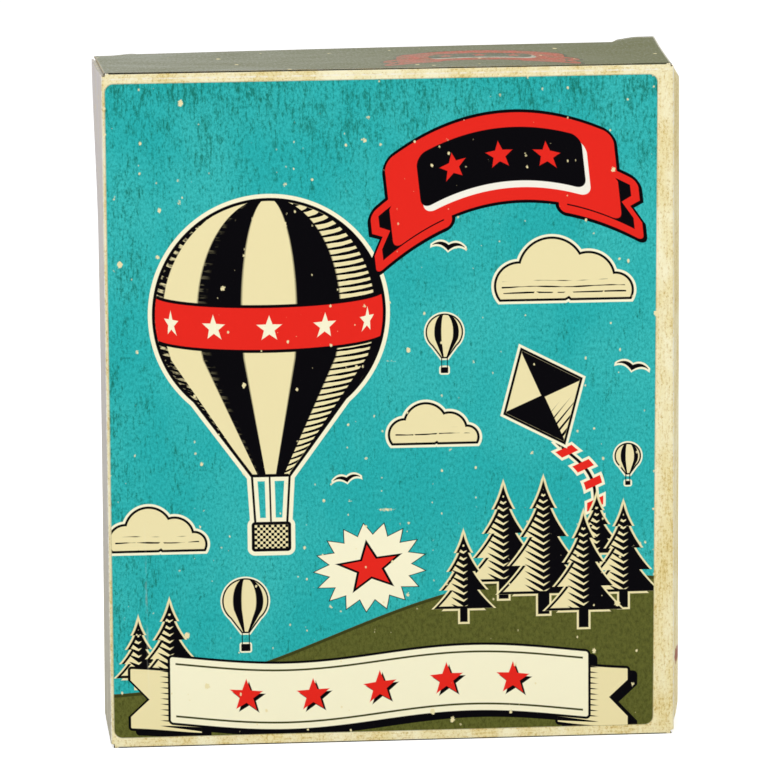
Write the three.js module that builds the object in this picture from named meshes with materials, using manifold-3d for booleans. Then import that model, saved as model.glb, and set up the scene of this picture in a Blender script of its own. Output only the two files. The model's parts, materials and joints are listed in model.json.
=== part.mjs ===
// Retail carton of a toy parachute, closed, with the packed toy inside.
// Millimetres, +Z up. The front panel faces -Y and the carton stands on z = 0.

import * as THREE from 'three';
import { mergeVertices } from 'three/addons/utils/BufferGeometryUtils.js';
import { RoundedBoxGeometry } from 'three/addons/geometries/RoundedBoxGeometry.js';
import Module from 'manifold-3d';

const wasm = await Module();
wasm.setup();

// Carton sizes
const cartonWidth = 127;
const cartonDepth = 31.75;
const cartonHeight = 152.4;
const boardThickness = 0.5;
const foldGap = 0.3;
const uprightFoldRadius = 0.9;
const glueFlapWidth = 13;
const glueFlapEndTaper = 5;
const glueFlapEndClearance = 2.5;
const sideBow = 2.8;
const sideBowEdge = 5;

// Closure sizes, the same at the top and the bottom
const lidSideClearance = 0.8;
const slitLockLength = 9.5;
const slitLockRamp = 1.2;
const tuckLength = 12.5;
const tuckCornerRadius = 7;
const tuckSideClearance = 1.6;
const tuckLeanDegrees = 18;
const dustFlapReach = 30;
const dustFlapFrontSetback = 1.4;
const dustFlapFrontTaperDegrees = 29;
const dustFlapRearSetback = 2.6;
const dustFlapNotch = 1.6;
const dustFlapTipRadius = 4;

// Toy sizes
const restClearance = 0.3;
const figureHeight = 104;
const figureSideClearance = 2;
const figureSetForward = 1.2;
const bootLength = 17;
const bootWidth = 9.6;
const bootHeight = 9;
const soleThickness = 2.2;
const legSpacing = 13.6;
const ankleRadius = 4.7;
const kneeRadius = 5.6;
const thighRadius = 7.2;
const hipHeight = 47;
const hipWidth = 28;
const waistWidth = 23.5;
const bodyDepth = 17;
const chestWidth = 32;
const shoulderHeight = 79;
const shoulderSpan = 31;
const shoulderRadius = 5.4;
const elbowSpan = 42;
const elbowHeight = 63;
const elbowRadius = 4.4;
const handSpan = 25;
const handRadius = 3.8;
const neckRadius = 5;
const headWidth = 13.6;
const headDepth = 15.4;
const headHeight = 18.5;
const noseWidth = 2.4;
const earHeight = 4.6;
const helmetRadius = 9.3;
const helmetRimFlare = 0.9;
const helmetRimThickness = 1.1;
const chinStrapWidth = 1.5;
const beltHeight = 3.4;
const beltProud = 0.7;
const pocketWidth = 7.4;
const pocketHeight = 9.6;
const pocketProud = 1.3;
const packWidth = 25;
const packDepth = 7;
const packHeight = 29;
const packCornerRadius = 2.4;
const reserveWidth = 19;
const reserveDepth = 5;
const reserveHeight = 12.5;
const strapWidth = 3.2;
const strapThickness = 2.4;
const lugRadius = 2.7;
const lugThickness = 2;
const ringRadius = 4;
const ringWire = 1.2;

const figureToCanopyGap = 6;
const canopyPackSideClearance = 4.5;
const canopyPackHeight = 108;
const canopyPackThickness = 12;
const canopyFolds = 9;
const canopyCrown = 2.6;
const bandHeight = 3;
const bandThickness = 0.9;
const bandCornerRadius = 3;
const lineBunchDiameter = 1.6;
const coilLength = 46;
const coilWidth = 17;
const coilLoopsInward = 2;
const coilLoopGap = 0.6;
const coilLayerGap = 0.5;
const coilStraightShare = 2.4;
const lineSagBelowRing = 15;

// Smoothness of curved forms, in counts
const limbSides = 12;
const limbCapRings = 3;
const roundSides = 20;
const bendSteps = 4;
const bowStepsAcross = 8;
const bowStepsUp = 16;
const loopSteps = 24;
const lineSides = 6;
const uncoiledSteps = 40;

// Places that follow from the sizes
const halfBoard = boardThickness / 2;
const frontFace = -cartonDepth / 2;
const backFace = cartonDepth / 2;
const leftFace = -cartonWidth / 2;
const rightFace = cartonWidth / 2;
const lidHingeY = frontFace + halfBoard;
const edgeFromHinge = halfBoard + foldGap;
const lidLayer = boardThickness + foldGap;
const tuckHingeY = backFace - boardThickness - foldGap - halfBoard;
const lidReach = tuckHingeY - lidHingeY;
const frontPanelLow = lidLayer;
const frontPanelHigh = cartonHeight - lidLayer;
const dustFlapLevel = lidLayer + halfBoard;
const sidePanelLow = dustFlapLevel + edgeFromHinge;
const sidePanelHigh = cartonHeight - sidePanelLow;
const contentsFloor = 2 * lidLayer;
const toyFloor = contentsFloor + restClearance;
const figureReach = elbowSpan / 2 + elbowRadius;
const figureX = leftFace + 2 * lidLayer + figureSideClearance + figureReach;
const canopyLeft = figureX + figureReach + figureToCanopyGap;
const canopyRight = rightFace - canopyPackSideClearance;
const canopyPackWidth = canopyRight - canopyLeft;
const canopyCentreX = (canopyLeft + canopyRight) / 2;

const turn = Math.PI;
const quarter = Math.PI / 2;
const radians = (degrees) => degrees * turn / 180;
const at = (x, y, z) => new THREE.Vector3(x, y, z);

// Solids and booleans

function solidOf(geometry) {
  const bare = geometry.clone();
  bare.deleteAttribute('normal');
  bare.deleteAttribute('uv');
  const merged = mergeVertices(bare);
  const corners = merged.index.array;
  const kept = [];
  for (let i = 0; i < corners.length; i += 3) {
    const [a, b, c] = [corners[i], corners[i + 1], corners[i + 2]];
    if (a !== b && b !== c && c !== a) {
      kept.push(a, b, c);
    }
  }
  return new wasm.Manifold(new wasm.Mesh({
    numProp: 3,
    vertProperties: new Float32Array(merged.attributes.position.array),
    triVerts: new Uint32Array(kept),
  }));
}

function geometryOf(solid) {
  const mesh = solid.getMesh();
  const geometry = new THREE.BufferGeometry();
  geometry.setAttribute('position', new THREE.BufferAttribute(new Float32Array(mesh.vertProperties), 3));
  geometry.setIndex(new THREE.BufferAttribute(new Uint32Array(mesh.triVerts), 1));
  geometry.computeVertexNormals();
  return geometry;
}

function joined(geometries) {
  let whole = solidOf(geometries[0]);
  for (const geometry of geometries.slice(1)) {
    whole = whole.add(solidOf(geometry));
  }
  return whole;
}

// Colours of the printed board, the moulding and the soft goods

function finish(colour, roughness, metalness) {
  return new THREE.MeshStandardMaterial({ color: colour, roughness, metalness });
}

const finishes = {
  frontPrint: finish('#2fa8aa', 0.55, 0),
  sidePrint: finish('#e8d9a8', 0.6, 0),
  lidPrint: finish('#7e8064', 0.45, 0),
  plainBoard: finish('#b9ae98', 0.8, 0),
  figurePlastic: finish('#5c6b3a', 0.5, 0),
  ringWire: finish('#a9a79c', 0.35, 1),
  canopyCloth: finish('#efe6cf', 0.85, 0),
  lineCord: finish('#e9e2cd', 0.8, 0),
  bandRubber: finish('#b98a5a', 0.7, 0),
};

function piece(name, geometry, material) {
  const mesh = new THREE.Mesh(geometry, material);
  mesh.name = name;
  return mesh;
}

// The sleeve: four panels and the glued flap

function wallWithBends(outsideY, inward) {
  // Seen from above: a straight wall whose two ends turn a quarter round towards the sides.
  const outer = uprightFoldRadius;
  const inner = uprightFoldRadius - boardThickness;
  const halfWidth = cartonWidth / 2;
  const bendX = halfWidth - outer;
  const bendY = outsideY + inward * outer;
  const points = [];
  const arc = (centreX, radius, from, to) => {
    for (let i = 0; i <= bendSteps; i += 1) {
      const angle = from + (to - from) * i / bendSteps;
      const x = centreX + radius * Math.cos(angle);
      const y = bendY - inward * radius * Math.sin(angle);
      points.push(new THREE.Vector2(x, y));
    }
  };
  arc(bendX, outer, 0, quarter);
  arc(-bendX, outer, quarter, turn);
  arc(-bendX, inner, turn, quarter);
  arc(bendX, inner, quarter, 0);
  return new THREE.Shape(points);
}

function standingWall(shape, low, high) {
  const geometry = new THREE.ExtrudeGeometry(shape, { depth: high - low, bevelEnabled: false });
  geometry.translate(0, 0, low);
  return geometry;
}

function bowedPanel(width, height) {
  // The contents press this side out: it stands out most along its middle, with four straight edges.
  const geometry = new THREE.BoxGeometry(
    boardThickness, width, height, 1, bowStepsAcross, bowStepsUp,
  );
  const corners = geometry.attributes.position;
  for (let i = 0; i < corners.count; i += 1) {
    const level = height / 2 * Math.sin(turn * corners.getZ(i) / height);
    const fromEdge = Math.min(1, (height / 2 - Math.abs(level)) / sideBowEdge);
    const share = Math.cos(turn * corners.getY(i) / width) * Math.sin(quarter * fromEdge);
    corners.setX(i, corners.getX(i) + sideBow * share);
    corners.setZ(i, level);
  }
  return geometryOf(solidOf(geometry));
}

function sleeve() {
  const group = new THREE.Group();
  const front = standingWall(wallWithBends(frontFace, 1), frontPanelLow, frontPanelHigh);
  const back = standingWall(wallWithBends(backFace, -1), frontPanelLow, frontPanelHigh);
  group.add(piece('front_panel', front, finishes.frontPrint));
  group.add(piece('back_panel', back, finishes.sidePrint));

  const sideWidth = cartonDepth - 2 * (uprightFoldRadius + foldGap);
  const sideHeight = sidePanelHigh - sidePanelLow;
  const flat = new THREE.BoxGeometry(boardThickness, sideWidth, sideHeight);
  const left = piece('left_side_panel', flat, finishes.sidePrint);
  left.position.set(leftFace + halfBoard, 0, cartonHeight / 2);
  const right = piece('right_side_panel', bowedPanel(sideWidth, sideHeight), finishes.sidePrint);
  right.position.set(rightFace - halfBoard, 0, cartonHeight / 2);
  group.add(left, right);
  group.add(glueFlap());
  return group;
}

function glueFlap() {
  // Turns in from the back panel and lies against the inside of the left side panel.
  const low = sidePanelLow + glueFlapEndClearance;
  const high = sidePanelHigh - glueFlapEndClearance;
  const rear = backFace - uprightFoldRadius - foldGap;
  const free = rear - glueFlapWidth;
  const outline = new THREE.Shape();
  outline.moveTo(rear, low);
  outline.lineTo(rear, high);
  outline.lineTo(free, high - glueFlapEndTaper);
  outline.lineTo(free, low + glueFlapEndTaper);
  const geometry = new THREE.ExtrudeGeometry(outline, { depth: boardThickness, bevelEnabled: false });
  const flap = piece('glue_flap', geometry, finishes.plainBoard);
  const facing = new THREE.Matrix4().makeBasis(at(0, 1, 0), at(0, 0, 1), at(1, 0, 0));
  flap.quaternion.setFromRotationMatrix(facing);
  flap.position.set(leftFace + boardThickness + foldGap, 0, 0);
  return flap;
}

// Hinged board: an outline in the local XY plane that turns about the local X axis, with a round edge there

function hingedBoard(outline, hingeLength, hingeCentre) {
  const sheet = new THREE.ExtrudeGeometry(outline, {
    depth: boardThickness, bevelEnabled: false, curveSegments: bendSteps,
  });
  sheet.translate(0, 0, -halfBoard);
  const roll = new THREE.CylinderGeometry(halfBoard, halfBoard, hingeLength, limbSides);
  roll.rotateZ(quarter);
  roll.translate(hingeCentre, 0, 0);
  return geometryOf(solidOf(sheet).add(solidOf(roll)));
}

const lidHalfWidth = cartonWidth / 2 - lidSideClearance;
const slitInnerX = lidHalfWidth - slitLockLength;
const lidFoldEdge = lidReach - edgeFromHinge;
const shoulderReach = backFace - lidHingeY;

function lidPanel() {
  // The shoulders beside the slits run on over the raw edge of the back panel.
  // Between them the panel stops at the tuck fold.
  const outline = new THREE.Shape();
  outline.moveTo(-lidHalfWidth, 0);
  outline.lineTo(lidHalfWidth, 0);
  outline.lineTo(lidHalfWidth, shoulderReach);
  outline.lineTo(slitInnerX + slitLockRamp, shoulderReach);
  outline.lineTo(slitInnerX, lidFoldEdge);
  outline.lineTo(-slitInnerX, lidFoldEdge);
  outline.lineTo(-slitInnerX - slitLockRamp, shoulderReach);
  outline.lineTo(-lidHalfWidth, shoulderReach);
  return hingedBoard(outline, 2 * lidHalfWidth, 0);
}

function tuckPanel() {
  // Only the middle is joined to the lid; past the slits the upper edge is free and lies lower.
  const half = lidHalfWidth - tuckSideClearance;
  const foldHalf = slitInnerX - foldGap;
  const slitEdge = lidLayer + foldGap;
  const outline = new THREE.Shape();
  outline.moveTo(-foldHalf, 0);
  outline.lineTo(foldHalf, 0);
  outline.lineTo(foldHalf, slitEdge);
  outline.lineTo(half, slitEdge);
  outline.lineTo(half, tuckLength - tuckCornerRadius);
  outline.absarc(half - tuckCornerRadius, tuckLength - tuckCornerRadius, tuckCornerRadius, 0, quarter);
  outline.lineTo(-half + tuckCornerRadius, tuckLength);
  outline.absarc(-half + tuckCornerRadius, tuckLength - tuckCornerRadius, tuckCornerRadius, quarter, turn);
  outline.lineTo(-half, slitEdge);
  outline.lineTo(-foldHalf, slitEdge);
  return hingedBoard(outline, 2 * foldHalf, 0);
}

function dustFlap(frontSign) {
  // The front edge tapers away from the lid's hinge; the rear edge steps in past the slit lock.
  const middle = cartonDepth / 2;
  const along = (fromFront) => frontSign * (fromFront - middle);
  const front = uprightFoldRadius + dustFlapFrontSetback;
  const rear = cartonDepth - uprightFoldRadius - dustFlapRearSetback;
  const taper = Math.tan(radians(dustFlapFrontTaperDegrees));
  const frontTip = front + dustFlapReach * taper;
  const rearTip = rear - dustFlapNotch;
  const outline = new THREE.Shape();
  outline.moveTo(along(front), 0);
  outline.lineTo(along(frontTip), dustFlapReach);
  outline.lineTo(along(rearTip - dustFlapTipRadius), dustFlapReach);
  const tipStart = dustFlapReach - dustFlapTipRadius;
  outline.quadraticCurveTo(along(rearTip), dustFlapReach, along(rearTip), tipStart);
  outline.lineTo(along(rearTip), slitLockLength + dustFlapNotch);
  outline.lineTo(along(rear), slitLockLength);
  outline.lineTo(along(rear), 0);
  return hingedBoard(outline, rear - front, along((front + rear) / 2));
}

function closure(prefix, hingeLevel, upward) {
  // A lid hinged on the front panel, its tuck flap, and the two dust flaps on the side panels.
  const group = new THREE.Group();
  const lid = new THREE.Group();
  lid.position.set(0, lidHingeY, hingeLevel);
  lid.add(piece(prefix + '_lid', lidPanel(), finishes.lidPrint));
  const tuck = piece(prefix + '_tuck_flap', tuckPanel(), finishes.lidPrint);
  tuck.position.set(0, lidReach, 0);
  tuck.rotation.set(-upward * radians(90 + tuckLeanDegrees), 0, 0);
  lid.add(tuck);
  group.add(lid);

  const flapLevel = hingeLevel - upward * lidLayer;
  const left = piece(prefix + '_dust_flap_left', dustFlap(-1), finishes.plainBoard);
  left.position.set(leftFace + halfBoard, 0, flapLevel);
  left.rotation.set(0, 0, -quarter);
  const right = piece(prefix + '_dust_flap_right', dustFlap(1), finishes.plainBoard);
  right.position.set(rightFace - halfBoard, 0, flapLevel);
  right.rotation.set(0, 0, quarter);
  group.add(left, right);
  return group;
}

// The moulded figure

function limb(from, to, fromRadius, toRadius) {
  const length = from.distanceTo(to);
  const profile = [];
  for (let i = 0; i <= limbCapRings; i += 1) {
    const angle = -quarter + quarter * i / limbCapRings;
    profile.push(new THREE.Vector2(fromRadius * Math.cos(angle), fromRadius * Math.sin(angle)));
  }
  for (let i = 0; i <= limbCapRings; i += 1) {
    const angle = quarter * i / limbCapRings;
    profile.push(new THREE.Vector2(toRadius * Math.cos(angle), length + toRadius * Math.sin(angle)));
  }
  profile[0].x = 0;
  profile[profile.length - 1].x = 0;
  const geometry = new THREE.LatheGeometry(profile, limbSides);
  const direction = to.clone().sub(from).normalize();
  geometry.applyQuaternion(new THREE.Quaternion().setFromUnitVectors(at(0, 1, 0), direction));
  geometry.translate(from.x, from.y, from.z);
  return geometry;
}

function ellipsoid(width, depth, height, centre) {
  const geometry = new THREE.SphereGeometry(1, limbSides + limbCapRings, limbSides);
  geometry.rotateX(quarter);
  geometry.scale(width / 2, depth / 2, height / 2);
  geometry.translate(centre.x, centre.y, centre.z);
  return geometry;
}

function roundedBlock(width, depth, height, radius, centre) {
  const geometry = new RoundedBoxGeometry(width, depth, height, 2, radius);
  geometry.translate(centre.x, centre.y, centre.z);
  return geometry;
}

function loft(sections) {
  // Horizontal elliptical sections from the lowest to the highest, joined into one closed skin.
  const positions = [];
  const faces = [];
  const sides = roundSides;
  for (const { x, y, z, halfWidth, halfDepth } of sections) {
    for (let i = 0; i < sides; i += 1) {
      const angle = 2 * turn * i / sides;
      positions.push(x + halfWidth * Math.cos(angle), y + halfDepth * Math.sin(angle), z);
    }
  }
  for (let ring = 0; ring + 1 < sections.length; ring += 1) {
    for (let i = 0; i < sides; i += 1) {
      const a = ring * sides + i;
      const b = ring * sides + (i + 1) % sides;
      faces.push(a, b, b + sides, a, b + sides, a + sides);
    }
  }
  const lowest = positions.length / 3;
  const highest = lowest + 1;
  for (const { x, y, z } of [sections[0], sections[sections.length - 1]]) {
    positions.push(x, y, z);
  }
  const topRing = (sections.length - 1) * sides;
  for (let i = 0; i < sides; i += 1) {
    const next = (i + 1) % sides;
    faces.push(lowest, next, i);
    faces.push(highest, topRing + i, topRing + next);
  }
  const geometry = new THREE.BufferGeometry();
  geometry.setAttribute('position', new THREE.Float32BufferAttribute(positions, 3));
  geometry.setIndex(faces);
  return geometry;
}

// The body from crotch to neck: share of the way from hip to shoulder, width, share of the depth
const bodyShares = [
  [-0.3, hipWidth * 0.6, 0.66],
  [-0.12, hipWidth * 0.96, 0.9],
  [0, hipWidth, 0.95],
  [0.14, hipWidth * 0.93, 0.9],
  [0.3, waistWidth, 0.84],
  [0.5, (waistWidth + chestWidth) / 2, 0.92],
  [0.74, chestWidth, 1],
  [0.9, chestWidth, 0.96],
  [1.02, chestWidth * 0.94, 0.82],
  [1.12, chestWidth * 0.68, 0.66],
  [1.18, neckRadius * 2.3, 0.6],
];
const bodySections = bodyShares.map(([heightShare, width, depthShare]) => ({
  x: 0,
  y: 0,
  z: hipHeight + heightShare * (shoulderHeight - hipHeight),
  halfWidth: width / 2,
  halfDepth: bodyDepth * depthShare / 2,
}));

function bodyDepthAt(x, z) {
  // How far the skin of the body stands in front of or behind its middle, x from the centre line.
  let upper = bodySections.findIndex((section) => section.z > z);
  upper = upper < 1 ? bodySections.length - 1 : upper;
  const [a, b] = [bodySections[upper - 1], bodySections[upper]];
  const share = (z - a.z) / (b.z - a.z);
  const halfWidth = a.halfWidth + share * (b.halfWidth - a.halfWidth);
  const halfDepth = a.halfDepth + share * (b.halfDepth - a.halfDepth);
  return halfDepth * Math.sqrt(Math.max(0, 1 - (x / halfWidth) ** 2));
}

// The bloused trouser leg: share of the way from boot to hip, radius
const legShares = [
  [-0.06, ankleRadius],
  [0, ankleRadius * 1.28],
  [0.1, ankleRadius * 1.3],
  [0.26, ankleRadius * 1.16],
  [0.46, kneeRadius],
  [0.54, kneeRadius * 1.06],
  [0.76, (kneeRadius + thighRadius) / 2],
  [1, thighRadius],
  [1.1, thighRadius * 0.9],
];

function legs(side) {
  const x = side * legSpacing / 2;
  const sections = legShares.map(([share, radius]) => ({
    x: x * (1 + 0.1 * Math.sin(turn * share)),
    y: -ankleRadius * 0.3 * Math.sin(turn * share),
    z: bootHeight + share * (hipHeight - bootHeight),
    halfWidth: radius,
    halfDepth: radius * 1.04,
  }));
  const heel = at(x, ankleRadius / 4, ankleRadius);
  const toe = at(x * 1.1, -bootLength * 0.52, ankleRadius * 0.82);
  const ankle = at(x, ankleRadius / 6, bootHeight);
  const sole = new THREE.Shape();
  sole.absellipse(x * 1.05, -bootLength * 0.2, bootWidth / 2, bootLength / 2, 0, 2 * turn);
  const soleGeometry = new THREE.ExtrudeGeometry(sole, {
    depth: soleThickness, bevelEnabled: false, curveSegments: limbSides,
  });
  const pocketCentre = at(side * (legSpacing / 2 + thighRadius * 0.9), 0, hipHeight * 0.74);
  return [
    soleGeometry,
    limb(heel, toe, ankleRadius, ankleRadius * 0.82),
    limb(heel, ankle, ankleRadius, ankleRadius),
    loft(sections),
    roundedBlock(2 * pocketProud, pocketWidth, pocketHeight, pocketProud / 2, pocketCentre),
  ];
}

function arm(side) {
  const shoulder = at(side * shoulderSpan / 2, 0, shoulderHeight - shoulderRadius / 3);
  const elbow = at(side * elbowSpan / 2, 0, elbowHeight);
  const wrist = at(side * handSpan / 2, -bodyDepth / 2 + handRadius / 4, shoulderHeight - 2 * handRadius);
  const knuckles = at(wrist.x * 0.86, wrist.y, wrist.z + handRadius * 1.3);
  return [
    limb(shoulder, elbow, shoulderRadius, elbowRadius),
    limb(elbow, wrist, elbowRadius, handRadius * 0.86),
    limb(wrist, knuckles, handRadius, handRadius * 0.8),
  ];
}

function torso() {
  const beltAt = hipHeight + 0.3 * (shoulderHeight - hipHeight);
  const belt = (z) => ({
    x: 0, y: 0, z, halfWidth: waistWidth / 2 + beltProud, halfDepth: bodyDepth * 0.42 + beltProud,
  });
  return [
    loft(bodySections),
    loft([belt(beltAt - beltHeight / 2), belt(beltAt + beltHeight / 2)]),
  ];
}

function head() {
  const chin = figureHeight - headHeight;
  const centre = at(0, -headDepth / 12, chin + headHeight / 2);
  const rimHeight = centre.z + helmetRimThickness;
  const rim = helmetRadius + helmetRimFlare;
  const profile = [
    new THREE.Vector2(0, 0),
    new THREE.Vector2(rim, 0),
    new THREE.Vector2(rim, helmetRimThickness),
  ];
  const domeHeight = figureHeight - rimHeight - helmetRimThickness;
  const domeRings = 2 * limbCapRings;
  for (let i = 0; i <= domeRings; i += 1) {
    const angle = quarter * i / domeRings;
    const x = helmetRadius * Math.cos(angle);
    profile.push(new THREE.Vector2(x, helmetRimThickness + domeHeight * Math.sin(angle)));
  }
  profile[profile.length - 1].x = 0;
  const helmet = new THREE.LatheGeometry(profile, roundSides);
  helmet.rotateX(quarter);
  helmet.translate(0, 0, rimHeight);
  const faceFront = centre.y - headDepth / 2;
  const noseTip = at(0, faceFront, centre.z - headHeight / 10);
  const jaw = at(0, centre.y - headDepth / 6, chin + headHeight / 5);
  const strapEnds = [-1, 1].map((side) => limb(
    at(side * headWidth * 0.49, centre.y, rimHeight),
    at(side * headWidth * 0.25, faceFront + headDepth / 7, chin + chinStrapWidth),
    chinStrapWidth / 2, chinStrapWidth / 2,
  ));
  const chinCup = limb(
    at(-headWidth * 0.25, faceFront + headDepth / 7, chin + chinStrapWidth),
    at(headWidth * 0.25, faceFront + headDepth / 7, chin + chinStrapWidth),
    chinStrapWidth * 0.7, chinStrapWidth * 0.7,
  );
  const ears = [-1, 1].map((side) => ellipsoid(
    noseWidth, noseWidth * 1.2, earHeight, at(side * headWidth / 2, centre.y, centre.z - headHeight / 10),
  ));
  return [
    limb(at(0, 0, shoulderHeight), centre, neckRadius, neckRadius),
    ellipsoid(headWidth, headDepth, headHeight, centre),
    ellipsoid(headWidth * 0.74, headDepth * 0.66, headHeight * 0.42, jaw),
    ellipsoid(noseWidth, noseWidth * 1.5, noseWidth * 1.9, noseTip),
    helmet,
    chinCup,
    ...strapEnds,
    ...ears,
  ];
}

function strap(points) {
  // A flat band that stays upright in x and turns its flat side along the path.
  const positions = [];
  const faces = [];
  const path = new THREE.CatmullRomCurve3(points);
  const steps = 2 * limbSides;
  for (let i = 0; i <= steps; i += 1) {
    const centre = path.getPoint(i / steps);
    const tangent = path.getTangent(i / steps);
    const out = at(0, -tangent.z, tangent.y).setLength(strapThickness / 2);
    for (const [across, outward] of [[1, -1], [-1, -1], [-1, 1], [1, 1]]) {
      positions.push(
        centre.x + across * strapWidth / 2, centre.y + outward * out.y, centre.z + outward * out.z,
      );
    }
  }
  for (let ring = 0; ring < steps; ring += 1) {
    for (let i = 0; i < 4; i += 1) {
      const a = 4 * ring + i;
      const b = 4 * ring + (i + 1) % 4;
      faces.push(a, b, b + 4, a, b + 4, a + 4);
    }
  }
  const last = 4 * steps;
  faces.push(0, 2, 1, 0, 3, 2, last, last + 1, last + 2, last, last + 2, last + 3);
  const geometry = new THREE.BufferGeometry();
  geometry.setAttribute('position', new THREE.Float32BufferAttribute(positions, 3));
  geometry.setIndex(faces);
  return geometry;
}

const packMiddle = (hipHeight + shoulderHeight) / 2 + packHeight / 8;
const packCentre = at(0, bodyDepth / 2 + packDepth / 2 - beltProud, packMiddle);
const lugCentre = at(0, packCentre.y, packMiddle + packHeight / 2 + lugRadius - lugThickness / 4);

function harness() {
  const reserve = at(0, -bodyDepth / 2 - reserveDepth / 2 + beltProud, hipHeight + reserveHeight * 0.9);
  const pieces = [
    roundedBlock(packWidth, packDepth, packHeight, packCornerRadius, packCentre),
    roundedBlock(reserveWidth, reserveDepth, reserveHeight, packCornerRadius, reserve),
  ];
  const lug = new THREE.TorusGeometry(lugRadius, lugThickness / 2, limbSides / 2, limbSides);
  lug.rotateY(quarter);
  lug.translate(lugCentre.x, lugCentre.y, lugCentre.z);
  pieces.push(lug);
  for (const side of [-1, 1]) {
    const x = side * chestWidth / 4;
    const onFront = (z) => at(x, -bodyDepthAt(x, z), z);
    const shoulderTop = bodySections[bodySections.length - 3].z + strapThickness / 2;
    pieces.push(strap([
      onFront(reserve.z),
      onFront((reserve.z + shoulderHeight) / 2),
      onFront(shoulderHeight - shoulderRadius),
      at(x, -bodyDepth * 0.3, shoulderTop - strapThickness),
      at(x, 0, shoulderTop),
      at(x, bodyDepth * 0.32, shoulderTop - strapThickness),
      at(x, packCentre.y, packMiddle + packHeight * 0.3),
    ]));
  }
  return pieces;
}

function figure() {
  const parts = [...torso(), ...legs(-1), ...legs(1), ...arm(-1), ...arm(1), ...head(), ...harness()];
  return geometryOf(joined(parts));
}

function toyFigure() {
  const group = new THREE.Group();
  group.position.set(figureX, -figureSetForward, toyFloor);
  group.add(piece('figure', figure(), finishes.figurePlastic));
  const wire = ringWire / 2;
  const loop = new THREE.TorusGeometry(ringRadius, wire, limbSides / 2, roundSides);
  const ring = piece('line_ring', loop, finishes.ringWire);
  const lift = lugRadius - lugThickness / 2 - wire - restClearance;
  ring.position.set(lugCentre.x, lugCentre.y, lugCentre.z + lift + ringRadius);
  ring.rotation.set(quarter, 0, 0);
  group.add(ring);
  return group;
}

// The folded canopy and its band

function foldedCanopy() {
  // Seen from above: a stack of folds, each with a round turn at both ends.
  const turnRadius = canopyPackThickness / canopyFolds / 2;
  const widest = canopyPackWidth / 2 - turnRadius;
  const fold = (i) => {
    const y = -canopyPackThickness / 2 + (2 * i + 1) * turnRadius;
    const fromMiddle = 2 * y / canopyPackThickness;
    return { y, halfStraight: widest - canopyCrown * fromMiddle ** 2 };
  };
  const outline = new THREE.Shape();
  outline.moveTo(-fold(0).halfStraight, -canopyPackThickness / 2);
  for (let i = 0; i < canopyFolds; i += 1) {
    outline.absarc(fold(i).halfStraight, fold(i).y, turnRadius, -quarter, quarter);
  }
  for (let i = canopyFolds - 1; i >= 0; i -= 1) {
    outline.absarc(-fold(i).halfStraight, fold(i).y, turnRadius, quarter, 3 * quarter);
  }
  return new THREE.ExtrudeGeometry(outline, {
    depth: canopyPackHeight, bevelEnabled: false, curveSegments: bendSteps,
  });
}

function roundedLoop(path, halfWidth, halfDepth, radius) {
  path.moveTo(halfWidth, -halfDepth + radius);
  path.absarc(halfWidth - radius, halfDepth - radius, radius, 0, quarter);
  path.absarc(-halfWidth + radius, halfDepth - radius, radius, quarter, turn);
  path.absarc(-halfWidth + radius, -halfDepth + radius, radius, turn, 3 * quarter);
  path.absarc(halfWidth - radius, -halfDepth + radius, radius, 3 * quarter, 4 * quarter);
}

function rubberBand() {
  const halfWidth = canopyPackWidth / 2 + restClearance;
  const halfDepth = canopyPackThickness / 2 + restClearance;
  const outer = new THREE.Shape();
  roundedLoop(outer, halfWidth + bandThickness, halfDepth + bandThickness, bandCornerRadius);
  const inner = new THREE.Path();
  roundedLoop(inner, halfWidth, halfDepth, bandCornerRadius - bandThickness);
  outer.holes.push(inner);
  return new THREE.ExtrudeGeometry(outer, {
    depth: bandHeight, bevelEnabled: false, curveSegments: bendSteps,
  });
}

function packedCanopy() {
  const group = new THREE.Group();
  group.position.set(canopyCentreX, 0, toyFloor);
  group.add(piece('canopy', foldedCanopy(), finishes.canopyCloth));
  const band = piece('rubber_band', rubberBand(), finishes.bandRubber);
  band.position.set(0, 0, (canopyPackHeight - bandHeight) / 2);
  group.add(band);
  return group;
}

// The bunch of suspension lines, from the ring through the coil to the canopy

function coilPoints(centre) {
  // An oval coil in two layers: it winds inward, climbs in the half turn where it reverses,
  // and winds out again.
  const pitch = lineBunchDiameter + coilLoopGap;
  const climb = lineBunchDiameter + coilLayerGap;
  const loops = 2 * coilLoopsInward + 1 / 2;
  const points = [];
  for (let i = 0; i <= loops * loopSteps; i += 1) {
    const loop = i / loopSteps;
    const angle = -quarter + 2 * turn * loop;
    const inward = Math.min(loop, loops - loop);
    const climbed = Math.min(Math.max(2 * (loop - coilLoopsInward), 0), 1);
    const radius = coilWidth / 2 - pitch * inward;
    const sidewaysShare = Math.min(Math.max(coilStraightShare * Math.cos(angle), -1), 1);
    const x = centre.x + radius * Math.cos(angle) + (coilLength - coilWidth) / 2 * sidewaysShare;
    points.push(at(x, centre.y + radius * Math.sin(angle), centre.z + climb * climbed));
  }
  return points;
}

function leastGap(points, diameter) {
  // Clear space between stretches of the tube that are not next to each other along it.
  const apart = 3 * diameter;
  let least = Infinity;
  let walked = 0;
  const along = points.map((point, i) => {
    walked += i ? point.distanceTo(points[i - 1]) : 0;
    return walked;
  });
  for (let i = 0; i < points.length; i += 1) {
    for (let j = i + 1; j < points.length; j += 1) {
      if (along[j] - along[i] > apart) {
        least = Math.min(least, points[i].distanceTo(points[j]) - diameter);
      }
    }
  }
  return { least, length: walked };
}

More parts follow.
